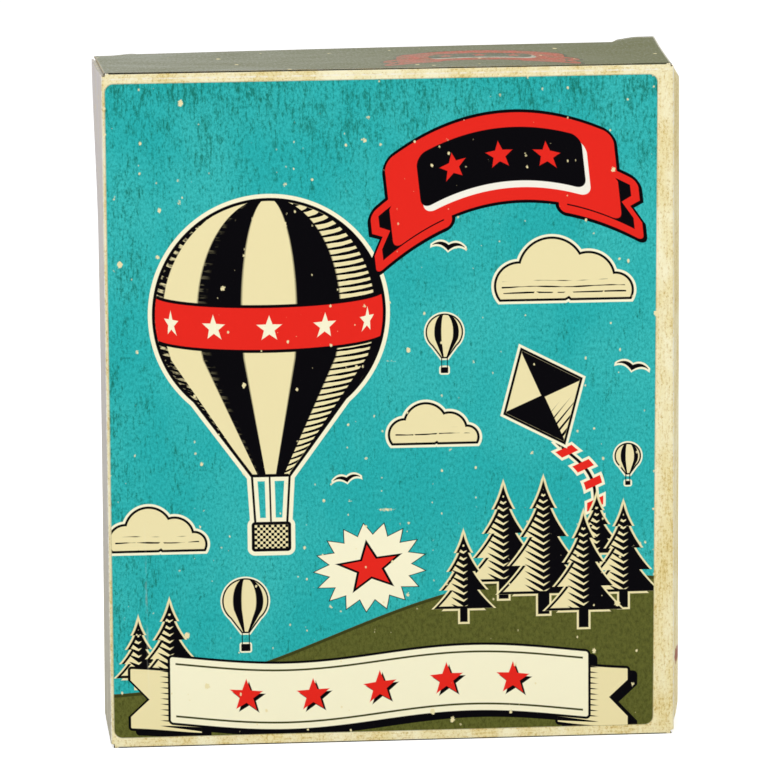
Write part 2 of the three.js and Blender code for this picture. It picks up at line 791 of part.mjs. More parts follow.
function suspensionLines() {
  // From the ring the bunch sags between figure and canopy and climbs over the canopy's edge.
  // It is coiled on top of the canopy, and ends on it beside the coil.
  const radius = lineBunchDiameter / 2;
  const lugInside = toyFloor + lugCentre.z + lugRadius - lugThickness / 2;
  const ringMiddle = lugInside - restClearance - ringWire / 2 + ringRadius - ringWire / 2;
  const ringSide = figureX + ringRadius + ringWire / 2 + restClearance;
  const ringY = lugCentre.y - figureSetForward;
  const sagLow = ringMiddle - lineSagBelowRing;
  const gapMiddle = canopyLeft - figureToCanopyGap / 2;
  const packTop = toyFloor + canopyPackHeight;
  const onPack = packTop + restClearance + radius;
  const coil = coilPoints(at(canopyCentreX, 0, onPack));
  const top = coil[coil.length - 1];
  const coilLeft = canopyCentreX - coilLength / 2;
  const endX = coilLeft - 2 * lineBunchDiameter;
  const points = [
    at(ringSide, ringY, ringMiddle),
    at(ringSide + lineBunchDiameter, ringY, ringMiddle),
    at((ringSide + gapMiddle) / 2, ringY, (ringMiddle + sagLow) / 2),
    at(gapMiddle - 1.6 * lineBunchDiameter, ringY / 2, sagLow),
    at(gapMiddle, ringY / 4, sagLow + 2 * lineBunchDiameter),
    at(gapMiddle, 0, (sagLow + packTop) / 2),
    at(gapMiddle, -lineBunchDiameter, packTop - lineBunchDiameter),
    at(canopyLeft - radius, -coilWidth * 0.16, onPack + 1.2 * lineBunchDiameter),
    at(canopyLeft + 2 * lineBunchDiameter, -coilWidth * 0.28, onPack + radius / 2),
    at(coilLeft + coilWidth / 4, -coilWidth * 0.52, onPack),
    at(canopyCentreX - coilLength / 4, -coilWidth * 0.53, onPack),
    ...coil,
    at(top.x - coilLength / 4, coilWidth * 0.52, top.z),
    at(coilLeft + coilWidth / 4, coilWidth * 0.48, top.z),
    at(endX + radius, coilWidth / 4, top.z - radius),
    at(endX, coilWidth / 8, packTop + restClearance + 2 * lineBunchDiameter),
    at(endX, coilWidth / 8, packTop + restClearance + lineBunchDiameter),
    at(endX, coilWidth / 8, packTop + restClearance),
  ];
  const path = new THREE.CatmullRomCurve3(points, false, 'centripetal');
  const section = new THREE.Shape();
  for (let i = 0; i < lineSides; i += 1) {
    const angle = 2 * turn * i / lineSides;
    const x = radius * Math.cos(angle);
    const y = radius * Math.sin(angle);
    if (i === 0) {
      section.moveTo(x, y);
    } else {
      section.lineTo(x, y);
    }
  }
  const steps = coil.length + uncoiledSteps;
  const measured = leastGap(path.getSpacedPoints(4 * steps), lineBunchDiameter);
  const shown = [measured.length.toFixed(1), measured.least.toFixed(2)];
  console.log('suspension lines: length', shown[0], 'least gap', shown[1]);
  return new THREE.ExtrudeGeometry(section, { extrudePath: path, steps, bevelEnabled: false });
}

// The whole object

const carton = new THREE.Group();
carton.add(sleeve());
carton.add(closure('top', cartonHeight - halfBoard, 1));
carton.add(closure('bottom', halfBoard, -1));
carton.add(toyFigure());
carton.add(packedCanopy());
carton.add(piece('suspension_lines', suspensionLines(), finishes.lineCord));

export default carton;
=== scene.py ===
"""Looks of a toy parachute in its closed folding carton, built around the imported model.

Lengths are written in millimetres and turned into metres where an object is made.
"""

import json
from math import cos, dist, exp, hypot, pi, radians, sin, sqrt, tan

import bpy
from mathutils import Matrix, Vector, noise


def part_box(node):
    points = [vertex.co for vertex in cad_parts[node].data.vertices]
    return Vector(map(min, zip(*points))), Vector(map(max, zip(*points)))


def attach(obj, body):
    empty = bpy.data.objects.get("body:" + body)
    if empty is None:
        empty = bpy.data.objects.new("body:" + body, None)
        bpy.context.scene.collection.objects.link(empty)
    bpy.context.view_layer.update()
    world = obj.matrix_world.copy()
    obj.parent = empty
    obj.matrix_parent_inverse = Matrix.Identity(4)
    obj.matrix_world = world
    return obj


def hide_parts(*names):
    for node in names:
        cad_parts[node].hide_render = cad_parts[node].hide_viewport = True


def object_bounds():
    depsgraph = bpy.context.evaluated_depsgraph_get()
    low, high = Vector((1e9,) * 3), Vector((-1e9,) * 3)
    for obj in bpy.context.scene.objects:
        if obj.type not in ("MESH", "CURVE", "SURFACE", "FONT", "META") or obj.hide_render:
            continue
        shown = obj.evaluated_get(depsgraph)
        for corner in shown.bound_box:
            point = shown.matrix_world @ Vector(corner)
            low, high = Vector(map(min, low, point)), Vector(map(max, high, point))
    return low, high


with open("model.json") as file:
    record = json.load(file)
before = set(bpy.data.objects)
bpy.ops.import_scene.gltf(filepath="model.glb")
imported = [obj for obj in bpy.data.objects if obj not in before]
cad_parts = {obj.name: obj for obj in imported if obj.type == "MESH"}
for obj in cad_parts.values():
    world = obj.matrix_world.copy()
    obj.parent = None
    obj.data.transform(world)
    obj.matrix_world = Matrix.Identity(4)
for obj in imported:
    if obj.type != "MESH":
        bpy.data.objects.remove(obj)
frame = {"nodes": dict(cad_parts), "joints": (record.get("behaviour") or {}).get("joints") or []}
cad_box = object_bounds()

MM = 0.001
BOARD = 0.5
FOLD_RADIUS = 0.65
LAYER = 0.8
BOX = {name: [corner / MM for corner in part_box(name)] for name in frame["nodes"]}
HALF_WIDTH = BOX["front_panel"][1].x
FRONT = BOX["front_panel"][0].y
BACK = BOX["back_panel"][1].y
HEIGHT = cad_box[1].z / MM
DEPTH = BACK - FRONT
HINGE = {j["name"]: Vector(j["pos_m"]) / MM for j in frame["joints"]}


# Small helpers

def clamp(value, low=0.0, high=1.0):
    return min(max(value, low), high)


def smooth(low, high, value):
    t = clamp((value - low) / (high - low))
    return t * t * (3 - 2 * t)


def mix(a, b, t):
    return a + (b - a) * t


def ink(*levels):
    """A colour written in 8-bit sRGB, as the linear colour that a shader takes."""
    shares = [level / 255 for level in levels]
    return (*(c / 12.92 if c <= 0.04045 else ((c + 0.055) / 1.055) ** 2.4 for c in shares), 1.0)


def spaced(low, high, step, fine=0.0):
    """Places from low to high about a step apart, closer at both ends if fine is set."""
    count = max(1, round((high - low) / step))
    places = [low + (high - low) * k / count for k in range(count + 1)]
    if fine:
        places = sorted(set(places + [low + fine, low + 3 * fine, high - 3 * fine, high - fine]))
    return places


def add_object(name, data):
    made = bpy.data.objects.new(name, data)
    bpy.context.scene.collection.objects.link(made)
    return made


def with_settings(made, settings):
    for name, value in settings.items():
        setattr(made, name, value)
    return made


def mesh_object(name, points, faces, materials, kinds=None):
    """An object from points in millimetres, with its faces turned outwards."""
    data = bpy.data.meshes.new(name)
    data.from_pydata([Vector(p) * MM for p in points], [], faces)
    for material in materials:
        data.materials.append(material)
    if kinds:
        data.polygons.foreach_set("material_index", kinds)
    data.polygons.foreach_set("use_smooth", [True] * len(faces))
    data.update()
    data.calc_loop_triangles()
    volume = 0.0
    for triangle in data.loop_triangles:
        a, b, c = (data.vertices[k].co for k in triangle.vertices)
        volume += a.dot(b.cross(c))
    if volume < 0:
        data.flip_normals()
    return add_object(name, data)


def stands_for(made, body, slot, *nodes):
    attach(made, body)
    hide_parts(*nodes)


# Camera, from the photograph's perspective

CAMERA_YAW = 4.656
CAMERA_ELEVATION = 10.559
CAMERA_ROLL = -0.4286
CAMERA_DISTANCE = 1517.1
CAMERA_AIM = Vector((0.0, FRONT, 79.96))
FOCAL_PIXELS = 6817.9
IMAGE_PIXELS = 782
SENSOR = 36.0


def make_camera():
    turns = (-CAMERA_YAW, "Z"), (90 - CAMERA_ELEVATION, "X"), (CAMERA_ROLL, "Z")
    yaw, pitch, roll = (Matrix.Rotation(radians(angle), 4, axis) for angle, axis in turns)
    turned = yaw @ pitch @ roll
    place = CAMERA_AIM + CAMERA_DISTANCE * turned.col[2].to_3d()
    data = bpy.data.cameras.new("camera")
    data.sensor_width = SENSOR
    data.lens = FOCAL_PIXELS / IMAGE_PIXELS * SENSOR
    data.clip_start, data.clip_end = 0.1, 20
    camera = add_object("camera", data)
    camera.matrix_world = Matrix.Translation(place * MM) @ turned
    bpy.context.scene.camera = camera


make_camera()


# Shaders, written as plain expressions

def empty_tree(owner):
    """The node tree of a new material or world, without its first nodes."""
    owner.use_nodes = True
    owner.node_tree.nodes.clear()
    return owner.node_tree


def add_node(tree, kind, inputs=(), **settings):
    """A node with its inputs set or linked; they come in order, or by name or number in a dict."""
    node = with_settings(tree.nodes.new("ShaderNode" + kind), settings)
    for slot, value in inputs.items() if isinstance(inputs, dict) else enumerate(inputs):
        value = getattr(value, "socket", value)
        value = value.outputs[0] if isinstance(value, bpy.types.Node) else value
        if isinstance(value, bpy.types.NodeSocket):
            tree.links.new(value, node.inputs[slot])
        else:
            node.inputs[slot].default_value = value
    return node


def maths(operation, swapped=False):
    """A method of Wire that puts one maths node on it and on other values, or after them."""
    def method(self, *others):
        return self.put(operation, *others, self) if swapped else self.put(operation, self, *others)
    return method


class Wire:
    """A value in a node tree that adds, multiplies and compares like a number."""

    def __init__(self, tree, socket):
        self.tree, self.socket = tree, socket

    def put(self, operation, *values, use_clamp=False):
        node = add_node(self.tree, "Math", values, operation=operation, use_clamp=use_clamp)
        return Wire(self.tree, node.outputs[0])

    __add__ = __radd__ = maths("ADD")
    __mul__ = __rmul__ = maths("MULTIPLY")
    __sub__, __rsub__ = maths("SUBTRACT"), maths("SUBTRACT", swapped=True)
    __truediv__, __abs__ = maths("DIVIDE"), maths("ABSOLUTE")
    least, most = maths("MINIMUM"), maths("MAXIMUM")
    sine, cosine, arcsine, arctan = maths("SINE"), maths("COSINE"), maths("ARCSINE"), maths("ARCTAN2")
    root, fraction, to_and_fro = maths("SQRT"), maths("FRACT"), maths("PINGPONG")

    def __neg__(self):
        return self * -1.0

    def ramp(self, low, high):
        """0 at low, 1 at high, straight between them."""
        size = high - low
        return self.put("MULTIPLY_ADD", self, 1 / size, -low / size, use_clamp=True)

    def inside(self, soft=0.16):
        """For a signed distance: 1 inside the shape, 0 outside, with an edge that is soft wide."""
        return self.ramp(soft / 2, -soft / 2)


class Skin:
    """The surface of one material: places on it in millimetres, and colours laid over colours.

    Places come from the mesh's own print places if printed is set, or else from the object's axes.
    """

    def __init__(self, name, colour, printed=False):
        self.material = bpy.data.materials.new(name)
        self.tree = empty_tree(self.material)
        self.colour = colour
        if printed:
            self.at = self.node("Attribute", attribute_name="print_mm").outputs["Vector"]
        else:
            own = self.node("TexCoord").outputs["Object"]
            self.at = self.vector("SCALE", {0: own, "Scale": 1 / MM}).outputs[0]
        self.x, self.y, self.z = self.split(self.at)

    def node(self, kind, inputs=(), **settings):
        return add_node(self.tree, kind, inputs, **settings)

    def vector(self, operation, inputs):
        return self.node("VectorMath", inputs, operation=operation)

    def moved(self, scale, shift):
        return self.vector("MULTIPLY_ADD", (self.at, scale, shift))

    def split(self, vector):
        node = self.node("SeparateXYZ", [vector])
        return [Wire(self.tree, out) for out in node.outputs]

    def noise(self, scale, detail=3.0, stretch=(1, 1, 1), shift=(0, 0, 0), rough=0.5):
        """Noise from 0 to 1 with features about scale long, longer where stretch is smaller."""
        place = self.moved([s / scale for s in stretch], shift)
        inputs = {"Vector": place, "Scale": 1.0, "Detail": detail, "Roughness": rough}
        return Wire(self.tree, self.node("TexNoise", inputs).outputs[0])

    def specks(self, spacing, size, share, ragged, shift=(0, 0, 0), stretch=(1, 0.8)):
        """Ragged specks up to about size, one in each cell that its random number picks."""
        place = self.moved([s / spacing for s in (*stretch, 1)], shift)
        cells = self.node("TexVoronoi", {"Vector": place, "Scale": 1.0}).outputs
        chance = self.split(cells["Color"])[0].ramp(1.0 - share, 1.0)
        edge = Wire(self.tree, cells["Distance"]) * spacing - chance * size
        edge = edge + (ragged - 0.5) * size * 1.8
        return edge.inside(0.2) * chance.ramp(0.0, 0.02)

    def disc(self, x, y, radius):
        """Signed distance to a disc round x, y."""
        length = self.vector("LENGTH", [self.moved((1.0, 1.0, 0.0), (-x, -y, 0.0))])
        return Wire(self.tree, length.outputs["Value"]) - radius

    def turned(self, x, y, angle):
        """Places seen from a frame at x, y that is turned by angle, in degrees."""
        inputs = {"Vector": self.at, "Center": (x, y, 0), "Angle": -radians(angle)}
        u, v, _ = self.split(self.node("VectorRotate", inputs, rotation_type="Z_AXIS"))
        return u - x, v - y

    def blend(self, under, over, cover):
        return self.node("Mix", {0: cover, 6: under, 7: over}, data_type="RGBA").outputs[2]

    def paint(self, colour, cover):
        """Lays colour over what is there, as much as cover says."""
        self.colour = self.blend(self.colour, colour, cover)

    def fill(self, colour, shape, soft=0.16):
        """Paints the inside of a shape that is written as a signed distance."""
        self.paint(colour, shape.inside(soft))

    def finish(self, roughness, height, depth, specular, others=()):
        """Ends the material; height is its bump, in which 1 stands for depth in millimetres."""
        bump = self.node("Bump", {"Distance": depth * MM, "Strength": 1.0, "Height": height})
        inputs = {"Base Color": self.colour, "Roughness": roughness, "Normal": bump}
        inputs.update(others, **{"Specular IOR Level": specular})
        self.node("OutputMaterial", [self.node("BsdfPrincipled", inputs)])
        return self.material


# Suspension lines: one bunch of threads, coiled on the folded canopy

LINE_DIAMETER = 1.6
LINE_FROM_RING = [
    (-29.6, 10.1, 89.425), (-28.0, 10.1, 89.425), (-17.85, 10.1, 81.925), (-8.66, 5.05, 74.425),
    (-6.1, 2.525, 77.625), (-6.1, 0, 92.16), (-6.1, -1.6, 108.3), (-3.9, -2.72, 112.92),
    (0.1, -4.76, 111.4), (9.2, -8.84, 111.0), (16.45, -9.01, 111.0),
]
LINE_TO_CANOPY = [
    (16.45, 8.84, 113.1), (9.2, 8.16, 113.1), (2.55, 4.25, 112.3),
    (1.75, 2.125, 113.4), (1.75, 2.125, 111.8), (1.75, 2.125, 110.2),
]
LINE_STEP = 1.0
LINE_SIDES = 24
COIL_CENTRE = (27.95, 0.0, 111.0)
COIL_LOOPS = 4.5
COIL_LOOP_STEPS = 24
COIL_RADIUS = 8.5
COIL_HALF_STRAIGHT = 14.5
COIL_STRAIGHT_SHARE = 2.4
COIL_PITCH = 2.2
COIL_CLIMB = 2.1
COIL_CLIMB_FROM = 2.0
COIL_CLIMB_LOOPS = 0.5
THREADS = 6
THREAD_TURNS_PER_MM = 0.027
THREAD_VALLEY = 0.86
THREAD_RIDGE = 0.18
WRAP_THREAD = 0.6
WRAP_TURNS = 4
WRAP_TURN_STEPS = 16
WRAP_SPACING = 1.05
WRAP_SIDES = 10


def coil_points():
    """Two layers of an oval coil, which winds inward, climbs, and winds out again."""
    points = []
    for i in range(int(COIL_LOOPS * COIL_LOOP_STEPS) + 1):
        loop = i / COIL_LOOP_STEPS
        angle = -pi / 2 + 2 * pi * loop
        radius = COIL_RADIUS - COIL_PITCH * min(loop, COIL_LOOPS - loop)
        sideways = clamp(COIL_STRAIGHT_SHARE * cos(angle), -1)
        climbed = clamp((loop - COIL_CLIMB_FROM) / COIL_CLIMB_LOOPS)
        points.append((
            COIL_CENTRE[0] + radius * cos(angle) + COIL_HALF_STRAIGHT * sideways,
            COIL_CENTRE[1] + radius * sin(angle),
            COIL_CENTRE[2] + COIL_CLIMB * climbed,
        ))
    return points


def smooth_route(points, step):
    """Points about a step apart on the smooth curve through points, as the part lays it."""
    points = [Vector(p) for p in points]
    points = [2 * points[0] - points[1]] + points + [2 * points[-1] - points[-2]]
    route = []
    for before, start, end, after in zip(points, points[1:], points[2:], points[3:]):
        d0, d1, d2 = ((b - a).length ** 0.5 for a, b in ((before, start), (start, end), (end, after)))
        leave = ((start - before) / d0 - (end - before) / (d0 + d1) + (end - start) / d1) * d1
        arrive = ((end - start) / d1 - (after - start) / (d1 + d2) + (after - end) / d2) * d1
        square = 3 * (end - start) - 2 * leave - arrive
        cube = 2 * (start - end) + leave + arrive
        count = max(1, round((end - start).length / step))
        for t in (k / count for k in range(count)):
            route.append(start + leave * t + square * t ** 2 + cube * t ** 3)
    route.append(points[-2])
    return route


def tube(name, route, radius_at, sides, material):
    """A closed tube along a route; radius_at takes the distance walked and the angle round it."""
    points, faces = [], []
    across = None
    walked = 0.0
    for k, place in enumerate(route):
        ahead = (route[min(k + 1, len(route) - 1)] - route[max(k - 1, 0)]).normalized()
        across = ahead.orthogonal() if across is None else across - ahead * across.dot(ahead)
        across.normalize()
        other = ahead.cross(across)
        walked += (place - route[k - 1]).length if k else 0.0
        for i in range(sides):
            angle = 2 * pi * i / sides
            way = across * cos(angle) + other * sin(angle)
            points.append(place + way * radius_at(walked, angle))
    for a in range(0, len(points) - sides, sides):
        for i in range(sides):
            j = (i + 1) % sides
            faces.append((a + i, a + j, a + sides + j, a + sides + i))
    faces.append(tuple(range(sides))[::-1])
    faces.append(tuple(range(len(points) - sides, len(points))))
    return mesh_object(name, points, faces, [material])


def thread_material():
    skin = Skin("line_thread", ink(233, 226, 205))
    twist = skin.noise(0.5, 3, (1, 1, 1), (2, 2, 2), rough=0.7)
    skin.paint(ink(196, 184, 152), twist.ramp(0.48, 0.75) * 0.6)
    return skin.finish(0.8, twist, 0.06, 0.2)


def make_wraps(material):
    """Turns of thread round the ring's wire, which tie the bunch to the ring."""
    low, high = BOX["line_ring"]
    centre, wire = (low + high) / 2, (high.y - low.y) / 2
    loop, reach = (high.x - low.x) / 2 - wire, wire + WRAP_THREAD / 2
    route = []
    steps = WRAP_TURNS * WRAP_TURN_STEPS
    for k in range(steps + 1):
        turn = 2 * pi * k / WRAP_TURN_STEPS
        along = (k / steps - 0.5) * WRAP_TURNS * WRAP_THREAD * WRAP_SPACING / loop
        out = Vector((cos(along), 0, sin(along)))
        aside = Vector((0, reach * sin(turn), 0))
        route.append(centre + out * (loop + reach * cos(turn)) + aside)
    made = tube("suspension_line_wraps", route, lambda *_: WRAP_THREAD / 2, WRAP_SIDES, material)
    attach(made, "sleeve")


def make_lines():
    material = thread_material()
    make_wraps(material)
    route = smooth_route(LINE_FROM_RING + coil_points() + LINE_TO_CANOPY, LINE_STEP)

    def radius_at(walked, angle):
        lobe = abs(cos(THREADS / 2 * (angle - 2 * pi * THREAD_TURNS_PER_MM * walked)))
        return LINE_DIAMETER / 2 * (THREAD_VALLEY + THREAD_RIDGE * lobe)

    made = tube("suspension_line_bunch", route, radius_at, LINE_SIDES, material)
    stands_for(made, "sleeve", "line_cord", "suspension_lines")


make_lines()


# Inks, and the colours of the painted sheen, shadow and shade

TEAL = ink(46, 184, 184)
TEAL_DARK = ink(18, 104, 84)
TEAL_DIM = ink(28, 148, 146)
TEAL_LIGHT = ink(76, 204, 200)
CREAM = ink(243, 230, 178)
CREAM_LIGHT = ink(254, 248, 214)
OCHRE = ink(216, 186, 96)
BROWN = ink(172, 138, 62)
OLIVE = ink(100, 103, 46)
OLIVE_DARK = ink(62, 64, 26)
LID_OLIVE = ink(107, 109, 73)
# painted sheen: a pale haze that stands for gloss reflected at a grazing angle
LID_PAINTED_SHEEN = ink(170, 172, 161)
# painted shadow: a dark line along the lid's hinge edge
LID_PAINTED_SHADOW = ink(34, 30, 20)
BLACK = ink(3, 2, 5)
RED = ink(236, 42, 32)
RED_DARK = ink(140, 44, 32)
# the left side's grey tint: partly the stock's own colour, partly painted shade
SIDE_GREY = ink(218, 212, 216)
# painted shade for the left side, deeper lower down
SIDE_SHADE = ink(164, 162, 142)
BACK_CREAM = ink(240, 231, 198)
STOCK_WHITE = ink(250, 246, 232)


# The picture: places are millimetres from the front's middle line and up from its lower edge

FIELD_LEFT = -62.7
FIELD_RIGHT = 59.2
FIELD_LOW = 2.3
FIELD_HIGH = 150.0
FIELD_CORNER = 1.9
FIELD_SPREAD = 6.3e-5
SIDE_START = HALF_WIDTH - BOARD / 2
TOP_CRACK = HEIGHT - 1.35
CREASE_AT = -54.6
STAIN_AT = (SIDE_START + 7.0, 17.0)
PANEL_EDGE = 0.15
HALO = 1.0
OUTLINE = 0.55
MOUTH_DROP = 1.42
MOUTH_HALF = 0.17
CONE_SLOPE = 0.731
CONE_COSINE = 0.807
CLOUD_PUFFS = [(-0.55, 0.18, 0.30), (-0.12, 0.38, 0.42), (0.36, 0.26, 0.34), (0.72, 0.10, 0.22)]
CLOUDS = [(38, 100, 17), (-53, 45, 12), (9, 68, 11)]
BIRDS = [(6, 119, 4.6, 10), (13, 112, 3.6, -6), (2, 112, 2.8, 4), (54, 84, 3.6, -12), (-10, 60, 3, 8)]
FAR_BALLOONS = [(12, 93, 4.2), (-33, 33, 5.2), (53, 64, 3.0)]
TREES = [
    (46, 42, 13), (25, 36, 22), (34, 33, 26), (16, 30, 17), (52, 33, 20), (43, 29, 22),
    (-57, 16, 13), (-50, 16, 17),
]


def length(u, v):
    return (u * u + v * v).root()


def rounded_box(u, v, half_width, half_height, radius):
    """Signed distance to a box with round corners, close to its edge."""
    a, b = abs(u) - (half_width - radius), abs(v) - (half_height - radius)
    return length(a.most(0.0), b.most(0.0)) + a.most(b).least(0.0) - radius


def star_row(u, v, pitch, tip, waist):
    """Signed distance to a row of five-pointed stars, a pitch apart along u."""
    along = u.to_and_fro(pitch / 2)
    folded = along.arctan(v).to_and_fro(pi / 5)
    out_x, out_y = waist * sin(pi / 5), waist * cos(pi / 5)
    edge = hypot(out_x, tip - out_y)
    across, forward = (tip - out_y) / edge, out_x / edge
    return length(along, v) * (folded.sine() * across + folded.cosine() * forward) - tip * forward


def silhouette(skin, shape, halo, pale=CREAM_LIGHT):
    """A black shape with a pale halo."""
    skin.fill(pale, shape - halo)
    skin.fill(BLACK, shape)


def outlined(skin, shape):
    """A motif as a stencil shows it: a pale halo, a black line and a cream fill."""
    silhouette(skin, shape - (HALO - OUTLINE), OUTLINE)
    skin.fill(CREAM, shape - HALO + 2 * OUTLINE)


def aged_stock(skin):
    """Worn stock under the ink: cream with streaks and spots of ochre, along the nearest edge."""
    x, y = skin.x, skin.y
    level = y.ramp(FIELD_HIGH - 0.4, FIELD_HIGH).most(y.ramp(FIELD_LOW + 0.4, FIELD_LOW))
    upright = skin.noise(0.5, 5, (1, 0.10, 1), rough=0.75)
    lying = skin.noise(0.5, 5, (0.10, 1, 1), (3, 3, 3), rough=0.75)
    streak = upright * (1.0 - level) + lying * level
    patch = skin.noise(8, 4, (1, 0.5, 1), (4, 8, 2), rough=0.6)
    grain = skin.noise(0.55, 4, (1, 0.7, 1), (9, 1, 5), rough=0.75)
    skin.paint(CREAM_LIGHT, (patch * 0.5 + streak * 0.5).ramp(0.44, 0.56) * 0.85)
    skin.paint(OCHRE, (streak * 0.6 + grain * 0.4 + patch * -0.30 + 0.14).ramp(0.45, 0.60) * 0.75)
    skin.paint(BROWN, (grain * 0.7 + streak * 0.3 + patch * -0.2 + 0.10).ramp(0.54, 0.68) * 0.65)


def sky(skin):
    """Teal with a fine grain, and dark upright streaks that gather at the top and the left."""
    x, y = skin.x, skin.y
    grain = skin.noise(0.55, 4, (1, 0.6, 1), (3, 7, 1), rough=0.8)
    streak = skin.noise(0.8, 5, (1, 0.22, 1), (6, 2, 4), rough=0.75)
    clumps = skin.noise(5, 3, (1, 0.35, 1), (8, 2, 1), rough=0.6)
    near_top = y.ramp(HEIGHT * 0.72, HEIGHT * 0.97)
    near_left = x.ramp(-HALF_WIDTH * 0.60, -HALF_WIDTH * 0.98)
    gather = near_top.most(near_left * 0.7) * 0.09 + clumps.ramp(0.35, 0.70) * 0.10
    broad = skin.noise(22, 3, (1, 0.6, 1), (1, 2, 3), rough=0.6)
    lit = skin.blend(TEAL, TEAL_LIGHT, broad.ramp(0.40, 0.62) * 0.5)
    dim = skin.blend(lit, TEAL_DIM, grain.ramp(0.42, 0.64) * 0.8)
    return skin.blend(dim, TEAL_DARK, (streak * 0.7 + grain * 0.3 + gather).ramp(0.60, 0.74) * 0.8)


def hills(skin):
    """The olive ground, whose crest climbs to the right."""
    crest = skin.y - (skin.x * 0.17 + (skin.x * 0.045 + 0.6).sine() * 5.0 + 27.0)
    soil = skin.noise(0.7, 4, (1, 0.6, 1), (2, 5, 9), rough=0.8)
    skin.fill(OLIVE, crest)
    skin.paint(OLIVE_DARK, crest.inside() * soil.ramp(0.42, 0.64) * 0.7)
    skin.fill(OLIVE_DARK, abs(crest + 0.4) - 0.35)


def cloud(skin, x, y, size):
    """A flat-bottomed cloud of four puffs, shaded with short level strokes."""
    shape = y - skin.y
    puffs = [skin.disc(x + u * size, y + v * size, radius * size) for u, v, radius in CLOUD_PUFFS]
    shape = puffs[0].least(puffs[1]).least(puffs[2]).least(puffs[3]).most(shape)
    outlined(skin, shape)
    strokes = (skin.y * 4.6 + (skin.x * 0.35).sine() * 0.5).sine()
    low = skin.y.ramp(y + size * 0.42, y)
    broken = skin.noise(1.6, 1, (0.4, 1, 1), (x, y, 0))
    skin.paint(BLACK, (shape + 1.3).inside() * (strokes + low * 1.1 + broken - 1.9).ramp(0.0, 0.2))


def envelope(skin, x, y, radius):
    """Signed distance to a gas bag: a ball that narrows to its mouth."""
    over_mouth = skin.y - (y - MOUTH_DROP * radius)
    cone = (abs(skin.x - x) - over_mouth * CONE_SLOPE - MOUTH_HALF * radius) * CONE_COSINE
    cone = cone.most(-over_mouth).most(skin.y - (y - 0.6 * radius))
    return skin.disc(x, y, radius).least(cone)


def gore_angle(skin, x, y, radius):
    """How far round the bag a place lies, from a quarter turn left to a quarter turn right."""
    level = (skin.y - y) * (1 / radius)
    ball = (1.0 - level * level).most(0.004).root()
    cone = ((level + MOUTH_DROP) * CONE_SLOPE + MOUTH_HALF).most(0.05)
    low = level.ramp(-0.36, -0.40)
    girth = ball * (1.0 - low) + cone * low
    return ((skin.x - x) * (1 / radius) / girth).least(1.0).most(-1.0).arcsine()


def balloon(skin, x, y, radius):
    """A striped gas balloon with a belt, ropes and a wicker basket."""
    u, v = skin.x - x, skin.y - y
    bag = envelope(skin, x, y, radius)
    over_basket = v + 1.94 * radius
    basket = rounded_box(u, over_basket, radius * 0.17, radius * 0.13, 0.8)
    spread = abs(abs(u) - over_basket * 0.06 - radius * 0.13) - 0.26
    stay = abs(u + over_basket * 0.02) - 0.2
    ropes = spread.least(stay).most(abs(over_basket - radius * 0.30) - radius * 0.24)
    silhouette(skin, bag.least(basket).least(ropes), 0.9)
    weave = ((skin.x * 5.0).sine() * (skin.y * 5.0).sine()).ramp(-0.2, 0.2)
    skin.paint(CREAM, (basket + 0.7).inside() * weave)
    around = gore_angle(skin, x, y, radius)
    inner = (bag + 0.7).inside()
    skin.paint(CREAM, inner * (around * 7.0).cosine().ramp(-0.16, 0.0))
    bulging = around.cosine()
    strokes = ((skin.y + bulging * 3.0) * 4.4).sine()
    broken = skin.noise(1.2, 2, (0.5, 1, 1), (5, 1, 5))
    shade = strokes + around.ramp(0.1, 1.25) * 1.9 + broken - 1.85
    skin.paint(BLACK, inner * shade.ramp(0.0, 0.25))
    lit = around.ramp(-0.55, -1.2) * broken.ramp(0.45, 0.6)
    skin.paint(CREAM, inner * lit * (strokes + 0.2).ramp(0.0, 0.3) * 0.8)
    over_belt = v + bulging * 3.4
    skin.paint(BLACK, inner * (abs(over_belt) - 5.4).inside())
    skin.paint(RED, inner * (abs(over_belt) - 4.7).inside())
    row = star_row(around * radius, over_belt, 13.0, 3.0, 1.25)
    skin.paint(CREAM_LIGHT, inner * row.inside())


def far_balloon(skin, x, y, radius):
    """A small balloon in the distance, with dark gores and a dot of a basket."""
    u, v = skin.x - x, skin.y - y
    bag = envelope(skin, x, y, radius)
    basket = rounded_box(u, v + radius * 2.05, radius * 0.2, radius * 0.16, 0.2)
    ropes = abs(abs(u) - radius * 0.15) - 0.11
    ropes = ropes.most(abs(v + radius * 1.68) - radius * 0.3)
    skin.fill(CREAM_LIGHT, bag.least(basket) - 0.35)
    skin.paint(BLACK, bag.least(basket).least(ropes).inside())
    gores = (gore_angle(skin, x, y, radius) * 6.0 + 0.6).sine()
    skin.paint(CREAM, (bag + 0.35).inside() * gores.ramp(-0.5, -0.2))


def kite(skin, x, y, size, angle):
    """A diamond kite in quarters, with a tail of bows."""
    u, v = skin.turned(x, y, angle)
    shape = (abs(u) * 1.25 + abs(v)) * 0.62 - size * 0.62
    tail_u = abs(u - (v * 0.22).sine() * 2.2)
    tail = (tail_u - 0.35).most(abs(v + size * 1.9) - size * 0.95)
    bows = (tail_u - 2.0).most(abs((v + size).to_and_fro(4.5) - 2.2) - 0.9)
    bows = bows.most(abs(v + size * 1.95) - size * 0.85)
    skin.fill(CREAM_LIGHT, tail.least(bows) - 0.6)
    skin.fill(BLACK, tail)
    skin.fill(RED, bows)
    outlined(skin, shape)
    face = (shape + 0.1).inside()
    skin.paint(BLACK, face * (u * v).ramp(-0.02, 0.02))
    skin.paint(BLACK, face * (abs(u) - 0.3).least(abs(v) - 0.3).inside())
    strokes = ((v - abs(u) * 0.5) * 4.2).sine()
    skin.paint(BLACK, face * (strokes + v.ramp(0, -size) * 1.4 - 1.3).ramp(0.0, 0.3))


def bird(skin, x, y, span, angle):
    """Two wings that arch out from the body and thin towards their tips."""
    u, v = skin.turned(x, y, angle)
    share = abs(u) * (1 / span)
    arch = share * (1.15 - share) * (span * 0.75)
    thick = (1.0 - share) * (span * 0.16) + 0.08
    silhouette(skin, (abs(v - arch) - thick).most(abs(u) - span), 0.45)


